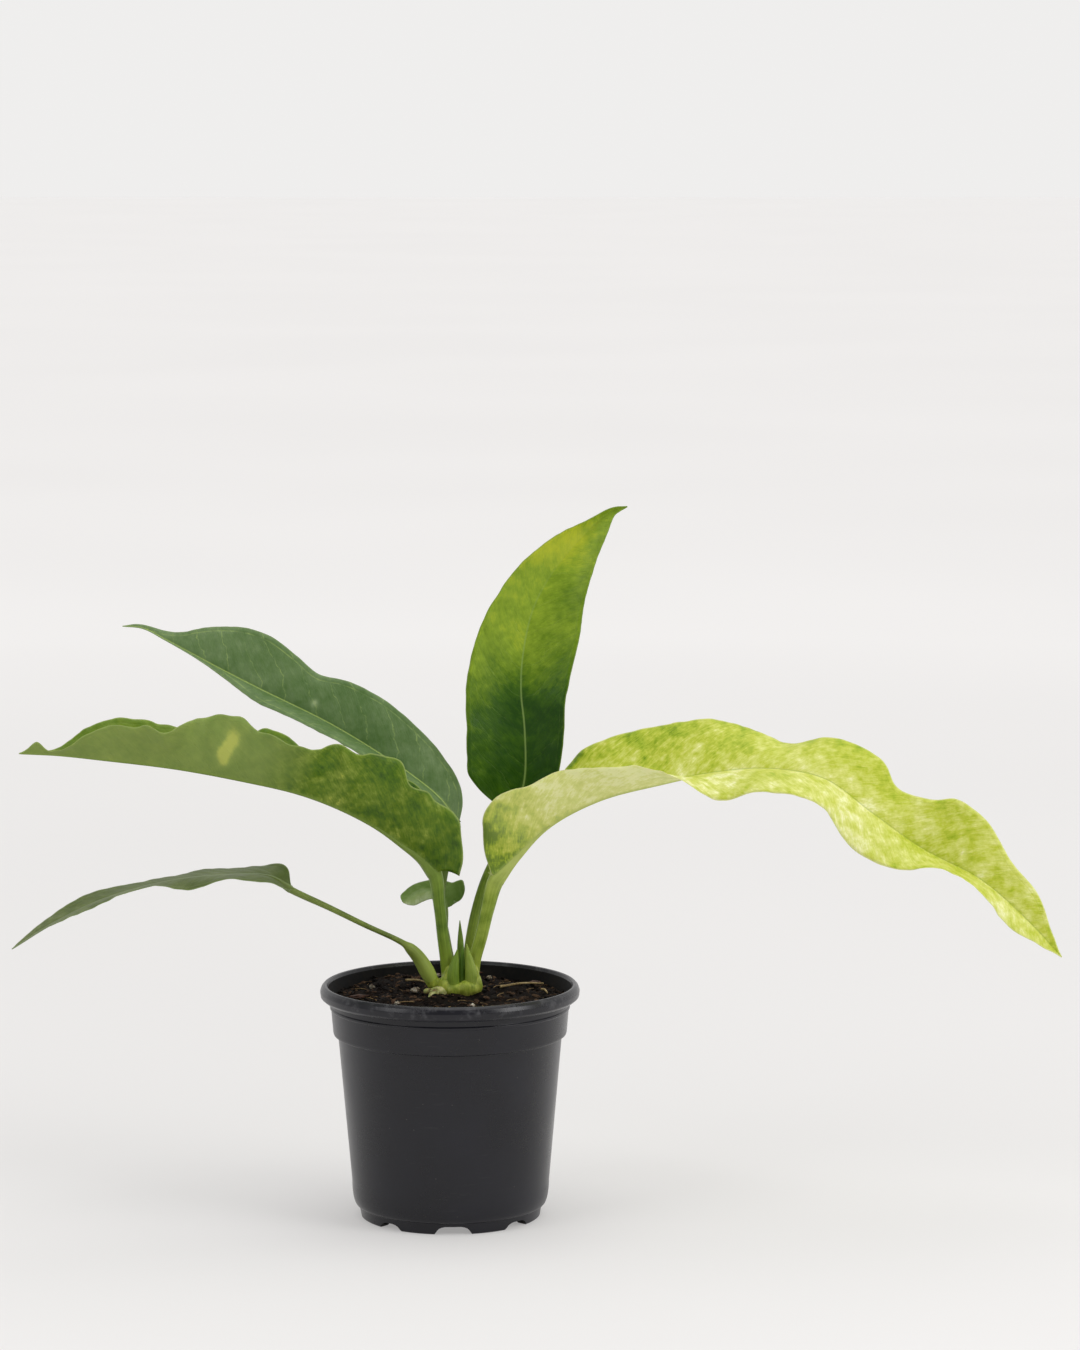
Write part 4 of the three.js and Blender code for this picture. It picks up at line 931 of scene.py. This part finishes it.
def bladeMesh(name, leaf):
    s = bladeShape
    rib = smoothPath(leaf["rib"])
    length = rib[2]
    stations = s["stations"] if length > 100 else s["stations"] // 3
    shares = np.linspace(0, 1, stations + 1)
    centre = pathAt(rib, shares)
    tangent = tangentAt(rib, shares)
    front, side = sectionFrame(tangent)

    def direction(degrees):
        angle = np.radians(degrees)[:, None]
        return np.cos(angle) * front + np.sin(angle) * side * leaf["turn"]

    outs = (np.arange(s["across"] + 1) / s["across"]) ** 1.5
    outs[-1] = 1
    halves = {}
    for half in ("near", "far"):
        width = columnAt(leaf[half], 1, shares) * np.sqrt(np.clip((1.004 - shares) / 0.03, 0.02, 1))
        uneven = np.array([bentNoise(place, s["scallopSize"], 1) for place in centre])
        share = 1 if half == "near" else s["farScallop"]
        width = width + uneven * leaf["scallop"] * np.clip(width / 20, 0, 1) * share
        atRib = direction(columnAt(leaf[half], 2, shares))
        atEdge = direction(columnAt(leaf[half], 3, shares))
        reach = width[:, None, None] * outs[None, :, None]
        fading = np.exp(-shares / s["lobeShare"])
        back = leaf["lobes"][half] * fading[:, None, None] * outs[None, :, None] ** 4
        halves[half] = (centre[:, None] + reach * (1 - outs[None, :, None]) * atRib[:, None]
                        + reach * outs[None, :, None] * atEdge[:, None] - back * tangent[:, None], width)
    sheet = np.concatenate([halves["near"][0][:, ::-1], halves["far"][0][:, 1:]], axis=1)
    across = np.concatenate([-outs[::-1], outs[1:]])
    width = np.where(across[None] < 0, halves["near"][1][:, None], halves["far"][1][:, None])
    distance = across[None] * width
    alongRib = np.broadcast_to(shares[:, None] * length, distance.shape)
    ribward = np.abs(distance)
    start = alongRib - s["veinSlant"] * ribward - s["veinCurl"] * ribward ** 2
    # the upper side is the one the two halves fold towards
    facing = leaf["turn"] * np.sign(leaf["near"][0][2] - leaf["far"][0][2])
    normal = np.cross(np.gradient(sheet, axis=1), np.gradient(sheet, axis=0)) * facing
    normal /= np.linalg.norm(normal, axis=2, keepdims=True)
    middle = s["across"]
    ribNormal = normal[:, middle - 2:middle + 3].mean(axis=1)
    ribNormal /= np.linalg.norm(ribNormal, axis=1, keepdims=True)
    leaf["ribNormals"] = ribNormal
    endRadius = leaf["radii"][-1][1]
    below, above = keelDepths(shares * length, endRadius)
    below = (below * np.clip((1 - shares) / 0.4, 0, 1) ** 0.5)[:, None]
    above = above[:, None]
    keel = (below + above) / 2
    near = np.exp(-(ribward / (2.2 * keel + 0.01)) ** 2)[..., None]
    lift = ribNormal[:, None] * near + normal * (1 - near)
    lift /= np.linalg.norm(lift, axis=2, keepdims=True)
    inside = np.clip(1 - (ribward / np.maximum(keel * 1.15, 0.01)) ** 2, 0, 1) ** 0.5
    groove = s["groove"] * np.exp(-(ribward / 1.3) ** 2) * (1 - above / endRadius)
    # tissue swells between the side veins, and the edges ripple
    away = np.clip(ribward / 6, 0, 1) * np.clip(width / 12, 0, 1)
    swell = s["pucker"] * away * (np.abs(np.sin(math.pi * start / s["veinSpacing"])) - 0.6)
    waves = np.array([[bentNoise(p, s["rippleSize"], 2) for p in row] for row in sheet])
    ripple = waves * leaf["ripple"] * np.abs(across)[None]
    sheet = sheet + normal * (swell + ripple * np.clip(width / 15, 0, 1))[..., None]
    thick = s["edgeThickness"] + (s["thickness"] - s["edgeThickness"]) * (1 - across ** 4)[None]
    topOff = thick / 2 + above * inside - groove
    lowOff = thick / 2 + below * inside
    upperSide = sheet + lift * topOff[..., None]
    lowerSide = sheet - lift * lowOff[..., None]
    columns = len(across)
    points = np.concatenate([upperSide, lowerSide[:, ::-1]], axis=1)
    ring = points.shape[1]
    faces = bandFaces(stations + 1, ring)
    for k, flip in ((0, True), (stations, False)):
        for j in range(columns - 1):
            a = k * ring + j
            b = k * ring + ring - 1 - j
            face = (a, a + 1, b - 1, b)
            faces.append(face[::-1] if flip else face)
    if facing < 0:
        faces = [face[::-1] for face in faces]
    places = points.reshape(-1, 3) * mm + np.array([0, 0, peatLevel])
    mesh = meshFrom("blade_" + name, places, faces)

    def both(values):
        # the same value above and below
        return np.concatenate([values, values[:, ::-1]], axis=1)

    full = np.ones_like(distance)
    # the tone rows hold painted light and shade as well as the leaf's own colour
    given = np.array(leaf["tonesAndPaintedLight"])
    tonesAndPaintedLight = np.stack([np.interp(shares, given[:, 0], given[:, k]) for k in (1, 2, 3)], axis=1)
    atEdges = np.where(across[None] < 0, tonesAndPaintedLight[:, 0:1], tonesAndPaintedLight[:, 2:3])
    light = tonesAndPaintedLight[:, 1:2] + (atEdges - tonesAndPaintedLight[:, 1:2]) * np.abs(across)[None]
    for share, reach, radius, lift in leaf["patches"]:
        gap = np.hypot(alongRib - share * length, distance - reach) / radius
        light = light + lift * np.exp(-gap ** 2)
    markPoints(mesh, {
        "fromRib": both(ribward * mm),
        "edgeGap": both((width - ribward) * mm),
        "alongRib": both(alongRib / length),
        "light": both(light),
        "upper": np.concatenate([full, full * 0], axis=1),
        "onKeel": np.concatenate([above / endRadius * inside, inside[:, ::-1] ** 0.5], axis=1),
    })
    uv = mesh.uv_layers.new(name="veinMap")
    pairs = np.stack([both(start * mm), both(distance * mm)], axis=-1).reshape(-1, 2).astype(np.float32)
    corners = np.zeros(len(mesh.loops), np.int32)
    mesh.loops.foreach_get("vertex_index", corners)
    uv.data.foreach_set("uv", pairs[corners].ravel())
    return mesh


def petioleMaterial(name, low, high, base, tip=None):
    # leaf stalk: smooth waxy skin, pale at its sheath, greener up, with faint lengthwise lines
    material, tree, place = startMaterial(
        name, {"IOR": 1.42, "Specular IOR Level": 0.3, "Subsurface Weight": 0.1, "Subsurface Scale": 1 * mm,
               "Subsurface Radius": (0.7, 1.0, 0.2)})
    along = addNode(tree, "ShaderNodeAttribute", out="Fac", attribute_name="along")
    turn = addNode(tree, "ShaderNodeAttribute", out="Fac", attribute_name="round")
    spot = addNode(tree, "ShaderNodeCombineXYZ", {0: turn, 1: along})
    lineMap = addNode(tree, "ShaderNodeMapping", {0: spot, 3: (26, 2.5, 1)})
    lines = addNode(tree, "ShaderNodeTexNoise",
                    {"Vector": lineMap, "Scale": 1.0, "Detail": 4, "Roughness": 0.6})
    cloud = addNode(tree, "ShaderNodeTexNoise", {"Vector": place, "Scale": 1 / (9 * mm), "Detail": 4})
    mixed = addNode(tree, "ShaderNodeMath", {0: lines, 1: cloud}, operation="ADD")
    shade = addNode(tree, "ShaderNodeMapRange", {0: mixed, 1: 0.75, 2: 1.25})
    green = addNode(tree, "ShaderNodeMix", {0: shade, 6: linear(low), 7: linear(high)}, **ofColours)
    if tip:
        onBlade = addNode(tree, "ShaderNodeMapRange", {0: along, 1: 0.5, 2: 0.72, 3: 0.0, 4: 0.9})
        green = addNode(tree, "ShaderNodeMix", {0: onBlade, 6: green, 7: linear(tip)}, **ofColours)
    sheath = addNode(tree, "ShaderNodeMapRange", {0: along, 1: 0.28, 2: 0.04, 3: 0.0, 4: 0.85})
    colour = addNode(tree, "ShaderNodeMix", {0: sheath, 6: green, 7: linear(base)}, **ofColours)
    roughness = addNode(tree, "ShaderNodeMapRange", {0: lines, 3: 0.34, 4: 0.5})
    return finishMaterial(material, colour, roughness, lines, 0.2 * mm)


stalkGreens = {
    "right": ("#66801a", "#a6b84a", "#a4b344"),
    "upright": ("#4a6216", "#758a2c", "#95a63c"),
    "back_left": ("#4e6423", "#71863e", "#8b9c3c"),
    "front_left": ("#4a6614", "#7a9430", "#93a63a"),
    "low_left": ("#505f26", "#77873c", "#a6b854"),
    "young": ("#56702d", "#7f9552", "#8ea046"),
}
bladeSlots = {"right": "leaf_marbled", "upright": "leaf_green", "front_left": "leaf_green"}


def petiolePath(leaf):
    # from the crown through the stalk's points, then on into the blade's keel, where it sinks away
    rib = smoothPath(leaf["rib"])
    path = smoothPath([*leaf["petiole"], *leaf["rib"][:3]])
    met = np.argmin(np.linalg.norm(path[0] - np.array(leaf["rib"][0]), axis=1))
    steps = bladeShape["stalkSteps"]
    shares = np.linspace(0, path[1][met], steps)
    places = list(pathAt(path, shares))
    radii = list(columnAt(leaf["radii"], 1, shares / shares[-1]))
    into = min(bladeShape["keelRun"], bladeShape["keelShare"] * rib[2])
    normals = leaf["ribNormals"]
    for k in range(bladeShape["keelSteps"]):
        t = (k + 1) / bladeShape["keelSteps"]
        share = t * into / rib[2]
        below, above = keelDepths(t * into, radii[steps - 1])
        up = normals[int(round(share * (len(normals) - 1)))]
        places.append(pathAt(rib, [share])[0] - up * (below - above) / 2)
        radii.append((below + above) / 2 * (1 - 0.2 * t ** 2))
    return places, radii


for name, own in leaves.items():
    leaf = leaves[name] = {**usualLeaf, **own}
    blade = newPiece(name + "_blade", bladeMesh(name, leaf), leafMaterial(name, leaf))
    settle(blade, bladeSlots.get(name, "leaf_dull_green"), "blade_" + name)
    path = stalkCurve(name + "_petiole", [petiolePath(leaf)])
    skin = petioleMaterial("stalk_waxy_" + name, *stalkGreens[name], leaf["keel"])
    petiole = withNodes(path, stalks, {"Sides": 28, "Finish": skin})
    settle(petiole, "stem_skin", "petiole_" + name)
    print("leaf", name, "made,", len(blade.data.polygons), "and", len(petiole.data.polygons), "faces")


# the crown, its scales and its roots, in mm from the crown's foot
crownShape = {
    "place": (6, 10), "width": 24, "depth": 29, "above": 12, "below": 15, "voxel": 0.7,
    # centre and half size of each lump at the foot of a sheath
    "swellings": [((0.2, 1.2, 6), (4.6, 4, 11)), ((13.6, 1.4, 6), (4.2, 4, 12)),
                  ((2.5, -2.2, 2.4), (7, 4.2, 4.8)), ((9.8, -2.6, 3), (6.6, 4.4, 5.6)),
                  ((14, 2.5, 4), (5.5, 6, 8)), ((-2.5, 1, 4), (5, 6, 7))],
    "sheathSteps": {"young": 6, "low_left": 5}, "sheathFoot": 1.16, "sheathTaper": 0.26,
    "rootCount": 6, "rootReach": 34, "rootDepth": 62, "rootRadius": 2.5,
}

scaleSteps = 40
scaleSides = 24
scaleShapes = {
    "new_spear": {"path": [(6.8, 0.8, 3), (6.8, 1.4, 15), (7.5, 3.5, 28)],
                  "radii": [(0, 2.3), (0.6, 1.7), (1, 0.25)], "flat": 0.95,
                  "greens": ("#46691a", "#648626", "#7d9638")},
    "scale_left": {"path": [(2.2, -2.4, 2), (2, -2.4, 12), (4.5, -0.4, 26)],
                   "radii": [(0, 3.6), (0.5, 3.2), (1, 0.3)], "flat": 0.5,
                   "greens": ("#58751d", "#7a9430", "#8b9c3c")},
    "scale_right": {"path": [(12, -2.2, 2), (12, -2.2, 13), (9.6, 0.2, 29)],
                    "radii": [(0, 3.6), (0.5, 3), (1, 0.3)], "flat": 0.5,
                    "greens": ("#6f862a", "#8fa242", "#a3b04f")},
    "scale_back": {"path": [(6, 9.6, 5), (6, 9.4, 24), (5.6, 9, 41)],
                   "radii": [(0, 2.2), (0.6, 1.9), (1, 0.25)], "flat": 0.5,
                   "greens": ("#5f7628", "#7c9a3c", "#8b9c3c")},
}


def loftMesh(name, rings):
    # closed skin over rings with equal counts of points
    count = len(rings[0])
    points = [p for ring in rings for p in ring]
    faces = bandFaces(len(rings), count)
    faces.append(list(range(count))[::-1])
    faces.append([len(points) - count + j for j in range(count)])
    return meshFrom(name, points, faces)


for name, shape in scaleShapes.items():
    path = smoothPath(shape["path"])
    shares = np.linspace(0, 1, scaleSteps)
    centre = pathAt(path, shares)
    front, side = sectionFrame(tangentAt(path, shares))
    radii = columnAt(shape["radii"], 1, shares)
    rings = []
    for k, share in enumerate(shares):
        ring = []
        for j in range(scaleSides):
            a = j / scaleSides * 2 * math.pi
            # the scale cups round the crown
            cup = (0.25 - 0.5 * math.cos(a) ** 2) * (1 - shape["flat"])
            outward = side[k] * math.cos(a) + front[k] * (shape["flat"] * math.sin(a) + cup)
            ring.append((centre[k] + radii[k] * outward) * mm + np.array([0, 0, peatLevel]))
        rings.append(ring)
    mesh = loftMesh(name, rings)
    markPoints(mesh, {"along": np.repeat(shares, scaleSides),
                      "round": np.tile(np.arange(scaleSides) / scaleSides, len(shares))})
    piece = newPiece(name + "_leaflet", mesh, petioleMaterial("scale_waxy_" + name, *shape["greens"]))
    settle(piece, "scale_skin", name)


def crownMaterial():
    # swollen stem base: yellow-green, fibrous, with painted shade darkening it where its fibre bump sinks
    # into creases, and browned where it meets the peat
    material, tree, place = startMaterial(
        "stem_base_living", {"IOR": 1.42, "Subsurface Weight": 0.15, "Subsurface Scale": 1.5 * mm,
                             "Subsurface Radius": (0.8, 1.0, 0.3)})
    height = addNode(tree, "ShaderNodeSeparateXYZ", {0: place}, out="Z")
    upright = addNode(tree, "ShaderNodeMapping", {0: place, 3: (1, 1, 0.22)})
    lines = addNode(tree, "ShaderNodeTexNoise",
                    {"Vector": upright, "Scale": 1 / (1.6 * mm), "Detail": 5, "Roughness": 0.65})
    cloud = addNode(tree, "ShaderNodeTexNoise", {"Vector": place, "Scale": 1 / (7 * mm), "Detail": 4})
    mixed = addNode(tree, "ShaderNodeMath", {0: lines, 1: cloud}, operation="ADD")
    # painted shade: the green darkens where the fibre lines' bump is low, over the stem's own patchy tone
    shade = addNode(tree, "ShaderNodeMapRange", {0: mixed, 1: 0.8, 2: 1.2})
    green = addNode(tree, "ShaderNodeMix",
                    {0: shade, 6: linear("#6f8416"), 7: linear("#b0bb4a")}, **ofColours)
    low = addNode(tree, "ShaderNodeMapRange",
                  {0: height, 1: peatLevel + 4 * mm, 2: peatLevel, 3: 0.0, 4: 0.8})
    earthy = addNode(tree, "ShaderNodeMath", {0: low, 1: cloud}, operation="MULTIPLY")
    colour = addNode(tree, "ShaderNodeMix", {0: earthy, 6: green, 7: linear("#4a3a1c")}, **ofColours)
    roughness = addNode(tree, "ShaderNodeMapRange", {0: lines, 3: 0.38, 4: 0.6})
    return finishMaterial(material, colour, roughness, lines, 0.35 * mm)


def crownPiece():
    # the swollen base and the sheaths of all stalks, grown into one skin
    s = crownShape
    middle = (s["above"] - s["below"]) / 2
    half = (s["above"] + s["below"]) / 2
    lumps = [((*s["place"], middle), (s["width"] / 2, s["depth"] / 2, half), 4, 0.12)]
    lumps += [(centre, half, 6, 0.1) for centre, half in s["swellings"]]
    sheaths = []
    for name, leaf in leaves.items():
        places, radii = petiolePath(leaf)
        reach = s["sheathSteps"].get(name, 13)
        wider = [r * (s["sheathFoot"] - s["sheathTaper"] * k / reach) for k, r in enumerate(radii[:reach])]
        sheaths.append((places[:reach], wider))
    stub = withNodes(stalkCurve("sheaths", sheaths), stalks, {"Sides": 24})
    joined = bmesh.new()
    for centre, half, seed, roughness in lumps:
        points, faces = lump(Vector(centre), Vector(half), seed, roughness)
        joined.from_mesh(meshFrom("lump", [p * mm + Vector((0, 0, peatLevel)) for p in points], faces))
    joined.from_mesh(stub.data)
    mesh = bpy.data.meshes.new("crown_base")
    joined.to_mesh(mesh)
    joined.free()
    bpy.data.objects.remove(stub)
    piece = newPiece("crown_base", mesh, crownMaterial())
    skin = piece.modifiers.new("skin", "REMESH")
    skin.mode = "VOXEL"
    skin.voxel_size = s["voxel"] * mm
    soft = piece.modifiers.new("soft", "SMOOTH")
    soft.factor = 0.5
    soft.iterations = 6
    piece = plainMesh(piece)
    piece.data.shade_smooth()
    return piece


crown = crownPiece()
settle(crown, "crown_skin", "crown")


def rootMaterial():
    # aerial root: pale, slightly warty skin, olive green in patches, with brown bruises
    material, tree, place = startMaterial(
        "root_living", {"Subsurface Weight": 0.1, "Subsurface Scale": 1 * mm})
    warts = addNode(tree, "ShaderNodeTexNoise",
                    {"Vector": place, "Scale": 1 / (1.4 * mm), "Detail": 5, "Roughness": 0.7})
    cloud = addNode(tree, "ShaderNodeTexNoise", {"Vector": place, "Scale": 1 / (3.5 * mm), "Detail": 3})
    colour = addNode(tree, "ShaderNodeValToRGB", {0: cloud},
                     stops=[(0.34, "#5b4a2a"), (0.66, "#c2bd84"), (0.5, "#959a52")])
    roughness = addNode(tree, "ShaderNodeMapRange", {0: warts, 3: 0.5, 4: 0.8})
    return finishMaterial(material, colour, roughness, warts, 0.5 * mm)


def rootPaths():
    s = crownShape
    paths = []
    for k in range(s["rootCount"]):
        angle = (k + 0.35 * (k % 2)) / s["rootCount"] * 2 * math.pi
        depth = s["rootDepth"] * (1 - 0.12 * (k % 3))
        points = []
        for reach, down in ((0.15, s["below"] / 2), (0.55, s["below"] + depth * 0.12),
                            (0.85, s["below"] + depth * 0.45), (1, s["below"] + depth)):
            points.append((s["place"][0] + math.cos(angle) * s["rootReach"] * reach,
                           s["place"][1] + math.sin(angle) * s["rootReach"] * reach, -down))
        shares = np.linspace(0, 1, 30)
        places = pathAt(smoothPath(points), shares)
        paths.append((list(places), list(s["rootRadius"] * (1 - 0.45 * shares))))
    # nubs that show above the peat in front of the crown
    for points, radii in (([(0, 2, -2), (-6, -4, 2), (-11, -9, 2.5)], (3, 3, 1.9)),
                          ([(-8, -6, 2), (-9, -11, 2.2), (-12, -14, 0)], (2.4, 2.2, 1.2)),
                          ([(-9, -7, 2), (-13, -6, 2.4), (-15, -5, 1.5)], (2.0, 1.8, 1.2))):
        shares = np.linspace(0, 1, 18)
        places = pathAt(smoothPath(points), shares)
        warty = np.array([1 + 0.14 * bentNoise(p, 3) for p in places])
        thick = np.interp(shares, (0, 0.5, 1), radii) * warty
        thick[-3:] *= (0.9, 0.7, 0.35)
        paths.append((list(places), list(thick)))
    return paths


roots = withNodes(stalkCurve("roots", rootPaths()), stalks, {"Sides": 16, "Finish": rootMaterial()})
settle(roots, "crown_skin")

strawCurves = []
for k, nodeName in enumerate(strawNodes):
    # the straw keeps to its frame node's box, corner to corner in a bend
    low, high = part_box(nodeName)
    flip = (False, True, True)[k % 3]
    start = Vector((low.x, high.y if flip else low.y, low.z + 0.5 * mm))
    end = Vector((high.x, low.y if flip else high.y, low.z + 0.3 * mm))
    bend = (start + end) / 2 + Vector((0, 0, (high.z - low.z) * 0.6))
    shares = np.linspace(0, 1, 24)
    base = Vector((0, 0, peatLevel))
    path = smoothPath([tuple((p - base) / mm) for p in (start, bend, end)])
    strawCurves.append((list(pathAt(path, shares)), list(0.75 - 0.35 * shares)))
straw = withNodes(stalkCurve("straw_stems", strawCurves), stalks, {"Sides": 10, "Finish": strawMaterial()})
settle(straw, "straw", *strawNodes)
print("crown, scales, roots and straw made")


def floorMaterial():
    # matt paper sweep
    material, tree, place = startMaterial("paper_sweep", {"Roughness": 0.9, "Specular IOR Level": 0.1,
                                                          "Emission Color": linear("#fcfaf9")})
    cloud = addNode(tree, "ShaderNodeTexNoise", {"Vector": place, "Scale": 0.8, "Detail": 1})
    colour = addNode(tree, "ShaderNodeValToRGB", {0: cloud}, stops=[(0.35, "#b3b2b1"), (0.65, "#b7b6b5")])
    # lit from within, more so where the lamps no longer reach, so that no horizon shows
    away = addNode(tree, "ShaderNodeVectorMath", {0: place}, out="Value", operation="LENGTH")
    glow = addNode(tree, "ShaderNodeMapRange", {0: away, 1: 0.3, 2: 3.0, 3: 0.33, 4: 0.57})
    for socket, source in (("Base Color", colour), ("Emission Strength", glow)):
        tree.links.new(source, tree.nodes["Principled BSDF"].inputs[socket])
    return material


floorReach = 40
floorPoints = [(x * floorReach, y * floorReach, 0) for y in (-1, 1) for x in (-1, 1)]
floor = newPiece("floor", meshFrom("floor", floorPoints, [(0, 1, 3, 2)]), floorMaterial())

# the fill is dimmer from the front, as in a white cove that is open on that side
fillBehind = 0.88
fillInFront = 0.3
world = bpy.data.worlds.new("studio")
bpy.context.scene.world = world
world.use_nodes = True
sky = world.node_tree
heading = addNode(sky, "ShaderNodeTexCoord", out="Generated")
openSide = addNode(sky, "ShaderNodeVectorMath",
                   {0: heading, 1: (0.35, 0.93, 0)}, out="Value", operation="DOT_PRODUCT")
fill = addNode(sky, "ShaderNodeMapRange", {0: openSide, 1: -0.8, 2: 0.6, 3: fillInFront, 4: fillBehind})
sky.nodes["Background"].inputs["Color"].default_value = linear("#fdfcfb")
# what is seen beyond the floor is as pale as the floor's far end, from every side
seen = addNode(sky, "ShaderNodeLightPath", out="Is Camera Ray")
plain = addNode(sky, "ShaderNodeMath", {0: seen, 1: fillBehind}, operation="MULTIPLY")
strength = addNode(sky, "ShaderNodeMath", {0: fill, 1: plain}, operation="MAXIMUM")
sky.links.new(strength, sky.nodes["Background"].inputs["Strength"])
